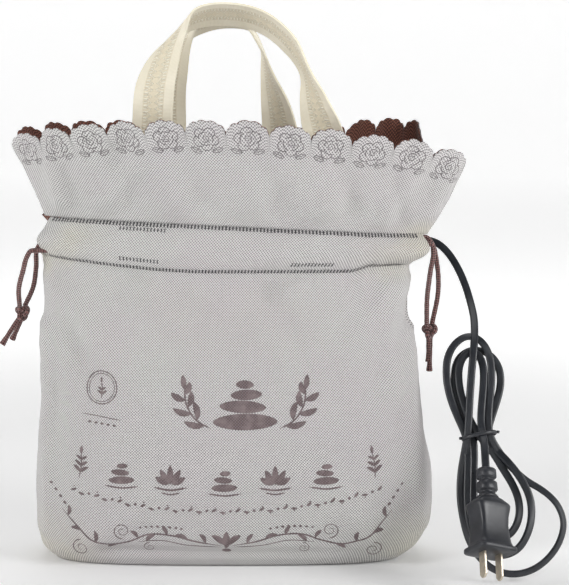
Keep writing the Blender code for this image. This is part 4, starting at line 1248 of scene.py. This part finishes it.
def rosette(ink, tilt):
    """A generic bloom: a curl, two rings of petals, and two leaves under it."""
    ink.curl(0, 1.0, 2.9, 1.4, 40 + tilt, 0.55)
    for k in range(3):
        ink.ring(0.0, 0.8, 4.9, 4.6, 0.52, 20 + tilt + 120 * k, 96)
    for k in range(5):
        a = math.radians(72 * k + 18 + tilt)
        ink.ring(4.9 * math.cos(a), 0.7 + 4.6 * math.sin(a), 3.9, 3.5, 0.50, math.degrees(a) - 94, 188)
    for hand in (-1, 1):
        ink.ring(hand * 7.4, -7.2, 3.6, 1.5, 0.45, 0, 360, hand * 20)
        ink.line([(hand * 3.4, -8.2), (hand * 10.4, -6.1)], 0.38)


def collar_print(side, patch):
    """One rosette on each scallop, each turned a little further than the last."""
    ink = Print(None, 1.0 if side == "front" else -1.0)
    for k in range(SCALLOPS):
        ink.place = on_flap(patch, (k + 0.5) / SCALLOPS, ROSETTE_DROP)
        rosette(ink, 37 * k)
    return ink.make(f"{side}_collar_print", FINE_INK)


def weld_rows(side, casing_patch):
    """Ticks of the two ultrasonic weld rows, laid on the tunnel's cloth, with the short second rows."""
    rows = Print(casing_patch.at)

    def tick(x, z_share, height, width=WELD_WIDTH):
        edges = x_to_u(np.array([x - width / 2, x + width / 2]))
        start = len(rows.points)
        tops = []
        for zs in np.linspace(z_share - height / 2, z_share + height / 2, 4):
            p, n, uv = casing_patch.at(edges, np.full(2, zs))
            tops.append(p + n * rows.LIFT * 1.2)
            rows.uv.extend(uv)
        rows.points.extend(np.concatenate(tops))
        rows.faces.extend(grid_faces(4, 2, start, flip=True))

    middle = casing_patch.points[len(casing_patch.vs) // 2, :, 0]
    order = np.argsort(middle)

    def x_to_u(x):
        return np.interp(x, middle[order], casing_patch.us[order])

    low_x, high_x = middle.min() + 0.003, middle.max() - 0.003
    for k in range(int((high_x - low_x) / WELD_PITCH)):
        x = low_x + (k + 0.5) * WELD_PITCH
        tall = WELD_TICK / (upper_weld(x) - lower_weld(x))
        faint = 0.72 + 0.28 * math.sin(k * 0.9)
        tick(x, 1 - tall * 0.52, tall * (0.8 + 0.2 * faint))
        tick(x, tall * 0.42, tall * 0.78, WELD_WIDTH * 0.9)
    short = ((-0.078, -0.045, 0.84), (-0.076, -0.048, 0.22), (0.042, 0.074, 0.22)) if side == "front" else ()
    for x0, x1, share in short:
        for k in range(int((x1 - x0) / WELD_PITCH)):
            x = x0 + (k + 0.45) * WELD_PITCH
            tall = 0.8 * WELD_TICK / (upper_weld(x) - lower_weld(x))
            tick(x, share, tall, WELD_WIDTH * 0.75)
    return rows.make(f"{side}_weld_ticks", WELD_INK)


# ---------------------------------------------------------- cloth on the frame
bag_cloth, body_patch = bag_body()
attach(bag_cloth, "bag")
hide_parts("front_panel", "back_panel", "left_gusset", "right_gusset", "base_panel")
tunnels, collars = {}, {}
for side, sign in (("front", -1.0), ("back", 1.0)):
    piece, patch = casing_piece(side)
    tunnels[side] = piece
    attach(piece, "bag")
    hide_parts(f"{side}_casing")
    ticks = weld_rows(side, patch)
    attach(ticks, "bag")
    outer, inner, patch = flap_pieces(side)
    print_piece = collar_print(side, patch)
    for item, finish_slot in ((outer, "light_nonwoven"), (inner, "brown_nonwoven"), (print_piece, "light_nonwoven")):
        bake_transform(item)
    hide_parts(f"{side}_collar")
    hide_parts(f"{side}_collar_lining")
    collars[side] = (outer, inner)
ink = front_print(body_patch)
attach(ink, "bag")


# --------------------------------------------------------------- inner layers
def layer(t, z, depth):
    """The undented form, drawn in by depth."""
    return skin(t, z) - outward(t, z) * depth


def padding_wrap():
    """The felt between cloth and heater: its outer face follows the cloth, its inner face the frame."""
    shares = shell_shares()
    t, z = np.meshgrid(shares, np.linspace(FELT_FOOT, FELT_TOP, 70))
    outer = skin(t, z) + outward(t, z) * (dents(t, z) - FELT_FACE)[..., None]
    inner = layer(t, z, FELT_BACK)
    return double_skin("padding_wrap", outer, inner, arc_uv(outer), HIDDEN["insulating_felt"], open_foot=True)


def bag_lining():
    """The brown inner bag: floor, walls, the neck behind the drawstring tunnel, and its flare to the collar."""
    shares = shell_shares()[::2]
    t, z = np.meshgrid(shares, np.linspace(FELT_FOOT, FELT_TOP, 60))
    walls = layer(t, z, LINING_DEPTH)
    wrinkle = fractal(walls, 0.028, 21) * 0.0010 + fractal(walls, 0.010, 22) * 0.0003
    walls = walls - outward(t, z) * (wrinkle[..., None] + 0.0006)
    top = layer(shares, FELT_TOP, LINING_DEPTH)
    half = np.abs(top[:, 1]).max()
    wander = 2 * np.sin(shares * 2 * math.pi * 5)
    pleat = 0.0008 * np.sin(shares * 2 * math.pi * 38 + wander)
    neck = []
    for share, z in ((0.35, 0.1945), (0.75, 0.1990), (1.0, 0.2040), (1.0, 0.2100), (1.0, 0.2160), (1.0, 0.2220),
                     (0.97, 0.2255)):
        ring = top.copy()
        ring[:, 1] *= 1 + (NECK_HALF_DEPTH / half - 1) * share
        ring[:, 2] = z
        ring[:, 1] += np.sign(ring[:, 1]) * pleat * smoothstep(0.192, 0.206, z)
        neck.append(ring)
    rim = skin(shares, UPPER_WELD_Z) - outward(shares, UPPER_WELD_Z) * 0.0026
    rim[:, 2] = upper_weld(rim[:, 0]) - 0.0004
    flare = [neck[-1] * (1 - s) + rim * s for s in (0.25, 0.5, 0.75, 1.0)]
    foot = walls[0] * [0.985, 0.96, 1]
    foot[:, 2] = LINING_FLOOR_Z
    centre = np.array([BASE_CENTRE_X, 0.0, LINING_FLOOR_Z])
    floor = [centre + (foot - centre) * s for s in (0.0, 0.25, 0.5, 0.75, 0.9, 1.0)]
    inner = np.concatenate([np.array(floor), walls, np.array(neck), np.array(flare)])
    normals = grid_normals(inner, around=True)
    normals[:len(floor)] = [0, 0, -1]
    return double_skin("bag_lining", inner + normals * 0.0005, inner, arc_uv(inner), BROWN_CLOTH)


# -------------------------------------------------------------------- handles
def handle_routes():
    """Places along each strap in metres, with the direction across the tape."""
    low, y = HANDLE_HINGE_Z + 0.0004, HANDLE_ROOT_Y
    front = (
        (-0.0550, -y, low, 1, 0, 0), (-0.0535, -y, 0.300, 1, 0, 0), (-0.0505, -y + 0.002, 0.330, 1, 0, 0.15),
        (-0.0405, -y + 0.004, 0.354, 0.8, -0.35, 0.5), (-0.0265, -y + 0.006, 0.3680, 0.2, -0.85, 0.55),
        (-0.0040, -y + 0.007, 0.3722, 0.0, -0.85, 0.55), (0.0180, -y + 0.007, 0.3680, 0.12, -0.85, 0.52),
        (0.0370, -y + 0.006, 0.3530, 0.25, -0.85, 0.34), (0.0480, -y + 0.005, 0.3330, 0.25, -0.95, 0.1),
        (0.0545, -y + 0.003, 0.3130, 0.75, -0.65, 0), (0.0600, -y + 0.001, 0.2940, 1, 0, 0),
        (0.0620, -y, low, 1, 0, 0),
    )
    back = (
        (-0.0465, y, low, 1, 0, 0), (-0.0475, y, 0.296, 1, 0, 0), (-0.0465, y - 0.002, 0.325, 1, 0, 0.15),
        (-0.0390, y - 0.004, 0.349, 0.8, -0.35, 0.5), (-0.0230, y - 0.006, 0.3640, 0.2, -0.9, 0.40),
        (-0.0040, y - 0.007, 0.3675, 0.0, -0.95, 0.25), (0.0100, y - 0.007, 0.3635, -0.1, -0.95, 0.10),
        (0.0185, y - 0.006, 0.3500, 0.0, -1, 0), (0.0230, y - 0.004, 0.3310, 0.35, -0.94, 0),
        (0.0280, y - 0.002, 0.3100, 0.75, -0.66, 0), (0.0310, y, 0.2920, 0.9, -0.4, 0), (0.0320, y, low, 1, 0, 0),
    )
    return {"front": np.array(front), "back": np.array(back)}


def handle_piece(side, route):
    """The strap as a tape that cups a little, with rounded edges."""
    stations = distances(route[:, :3])
    fine = hermite(stations, route, np.linspace(0, stations[-1], 181))
    places, wides = fine[:, :3], unit(fine[:, 3:])
    run = distances(places)
    across = np.linspace(-0.5, 0.5, 17)
    across = np.sign(across) * 0.5 * np.abs(across * 2) ** 0.8
    grid = places[:, None] + wides[:, None] * (STRAP_WIDTH * across)[None, :, None]
    normals = grid_normals(grid)
    cup = 0.0011 * (1 - (2 * across) ** 2)[None] * np.sin(math.pi * np.clip(run / run[-1], 0, 1))[:, None]
    wave = 0.0005 * np.sin(run * 60)[:, None]
    edge = 0.00028 * np.abs(2 * across[None]) ** 12
    grid = grid + normals * (STRAP / 2 + cup + wave - edge)[..., None]
    u = np.broadcast_to(STRAP_WIDTH * (across + 0.5), grid.shape[:2])
    uv = np.stack([u, np.broadcast_to(run[:, None], grid.shape[:2])], axis=-1)
    return bevelled(cloth_piece(f"{side}_webbing_loop", grid, STRAP, TAPE, uv), 0.0004, angle=60)


# ------------------------------------------------------------------ drawstrings
RIGHT_RUN_Z = RUN_Z + 0.0045
STRANDS = {
    "left_front": ((PULL_HINGE_X[0] + 0.0018, -RUN_Y, RUN_Z), (-0.1366, -0.0219, 0.2146),
                   (-0.1388, -0.0213, 0.2115), (-0.1425, -0.0180, 0.2010), (-0.1470, -0.0100, 0.1865),
                   (-0.1476, -0.0030, 0.1745)),
    "left_back": ((PULL_HINGE_X[0] + 0.0018, RUN_Y, RUN_Z), (-0.1364, 0.0220, 0.2144),
                  (-0.1382, 0.0214, 0.2112), (-0.1390, 0.0195, 0.1990), (-0.1402, 0.0125, 0.1860),
                  (-0.1448, 0.0030, 0.1740)),
    "right_front": ((PULL_HINGE_X[1] - 0.0018, -RUN_Y, RIGHT_RUN_Z), (0.1336, -0.0218, 0.2188),
                    (0.1344, -0.0208, 0.2150), (0.1330, -0.0160, 0.2000), (0.1318, -0.0060, 0.1800),
                    (0.1324, 0.0020, 0.1602)),
    "right_back": ((PULL_HINGE_X[1] - 0.0018, RUN_Y, RIGHT_RUN_Z), (0.1336, 0.0220, 0.2190),
                   (0.1362, 0.0215, 0.2160), (0.1406, 0.0190, 0.2000), (0.1410, 0.0130, 0.1830),
                   (0.1364, 0.0068, 0.1602)),
}
TAILS = {
    "left": (((-0.1470, -0.0010, 0.1680), (-0.1530, -0.0030, 0.1590), (-0.1600, -0.0050, 0.1480)),
             ((-0.1460, 0.0010, 0.1680), (-0.1500, 0.0035, 0.1590), (-0.1545, 0.0055, 0.1500))),
    "right": (((0.1338, 0.0040, 0.1530), (0.1338, 0.0020, 0.1450), (0.1336, 0.0000, 0.1350)),
              ((0.1354, 0.0060, 0.1530), (0.1354, 0.0080, 0.1420), (0.1352, 0.0095, 0.1270))),
}
KNOTS = {"left": ((-0.1462, 0.0000, 0.1695), 1.30), "right": ((0.1347, 0.0048, 0.1560), 1.35)}


def round_cord(name, route, radius, spacing=0.0009, flare=0.0):
    """A round braided cord and its path; a tail's end flares where its strands come undone."""
    path = smooth_route(route, spacing)
    s = np.linspace(0, 1, len(path))
    scale = 1 + flare * smoothstep(0.72, 1.0, s) + 0.03 * np.sin(s * len(path) * 0.9)
    up = np.tile([0.31, 0.62, 0.72], (len(path), 1))
    return sweep(name, path, round_profile(radius, 14), up, BRAID, scale=scale), path


def knot_piece(name, centre, size):
    """A tight overhand knot, as a tube along a trefoil."""
    t = np.linspace(0, 2 * math.pi, 97)
    a = 0.00105 * size
    x = a * (np.sin(t) + 2 * np.sin(2 * t))
    z = a * (np.cos(t) - 2 * np.cos(2 * t)) * 1.12
    y = -0.0021 * size * np.sin(3 * t)
    path = np.column_stack([x, y, z]) + np.array(centre)
    return sweep(name, path, round_profile(CORD_RADIUS * 0.98, 14), np.tile([0.2, 1.0, 0.1], (len(path), 1)), BRAID,
                 close=False)


def drawstrings():
    """Each cord's two runs in the tunnel, its strands, knot and tails."""
    for hand, reach in (("left", (PULL_HINGE_X[0] - 0.0002, -0.008)), ("right", (PULL_HINGE_X[1] + 0.0002, 0.0))):
        z = RUN_Z if hand == "left" else RIGHT_RUN_Z
        for side, sign in (("front", -1), ("back", 1)):
            route = [(x, sign * RUN_Y, z) for x in np.linspace(*reach, 4)]
            run, _ = round_cord(f"{hand}_run_{side}", route, CORD_RADIUS * 0.97, 0.0015)
            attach(run, f"{hand}_cord")
            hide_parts(f"{hand}_casing_cord_{side}")
        centre, size = KNOTS[hand]
        knot = knot_piece(f"{hand}_overhand_knot", centre, size)
        ends = [round_cord(f"{hand}_tail_{n}", route, CORD_RADIUS * 0.95, flare=0.35)[0]
                for n, route in enumerate(TAILS[hand])]
        for item in [knot] + ends:
            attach(item, f"{hand}_pull")
        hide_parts(f"{hand}_knot")
        for side in ("front", "back"):
            strand, path = round_cord(f"{hand}_drawstring_{side}", STRANDS[f"{hand}_{side}"], CORD_RADIUS)
            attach(strand, f"{hand}_pull")
            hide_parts(f"{hand}_strand_{side}")


padding = padding_wrap()
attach(padding, "bag")
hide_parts("front_insulation", "back_insulation", "left_insulation", "right_insulation")
inner_bag = bag_lining()
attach(inner_bag, "bag")
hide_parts("front_lining", "back_lining", "left_lining", "right_lining", "base_lining")
for side, route in handle_routes().items():
    loop = handle_piece(side, route)
    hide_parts(f"{side}_handle")
    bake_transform(loop)
drawstrings()
for row in frame["record"]["subparts"]:
    node = frame["nodes"][row["node"]]
    for place in node.material_slots:
        place.material = HIDDEN[row["material_slot"]]
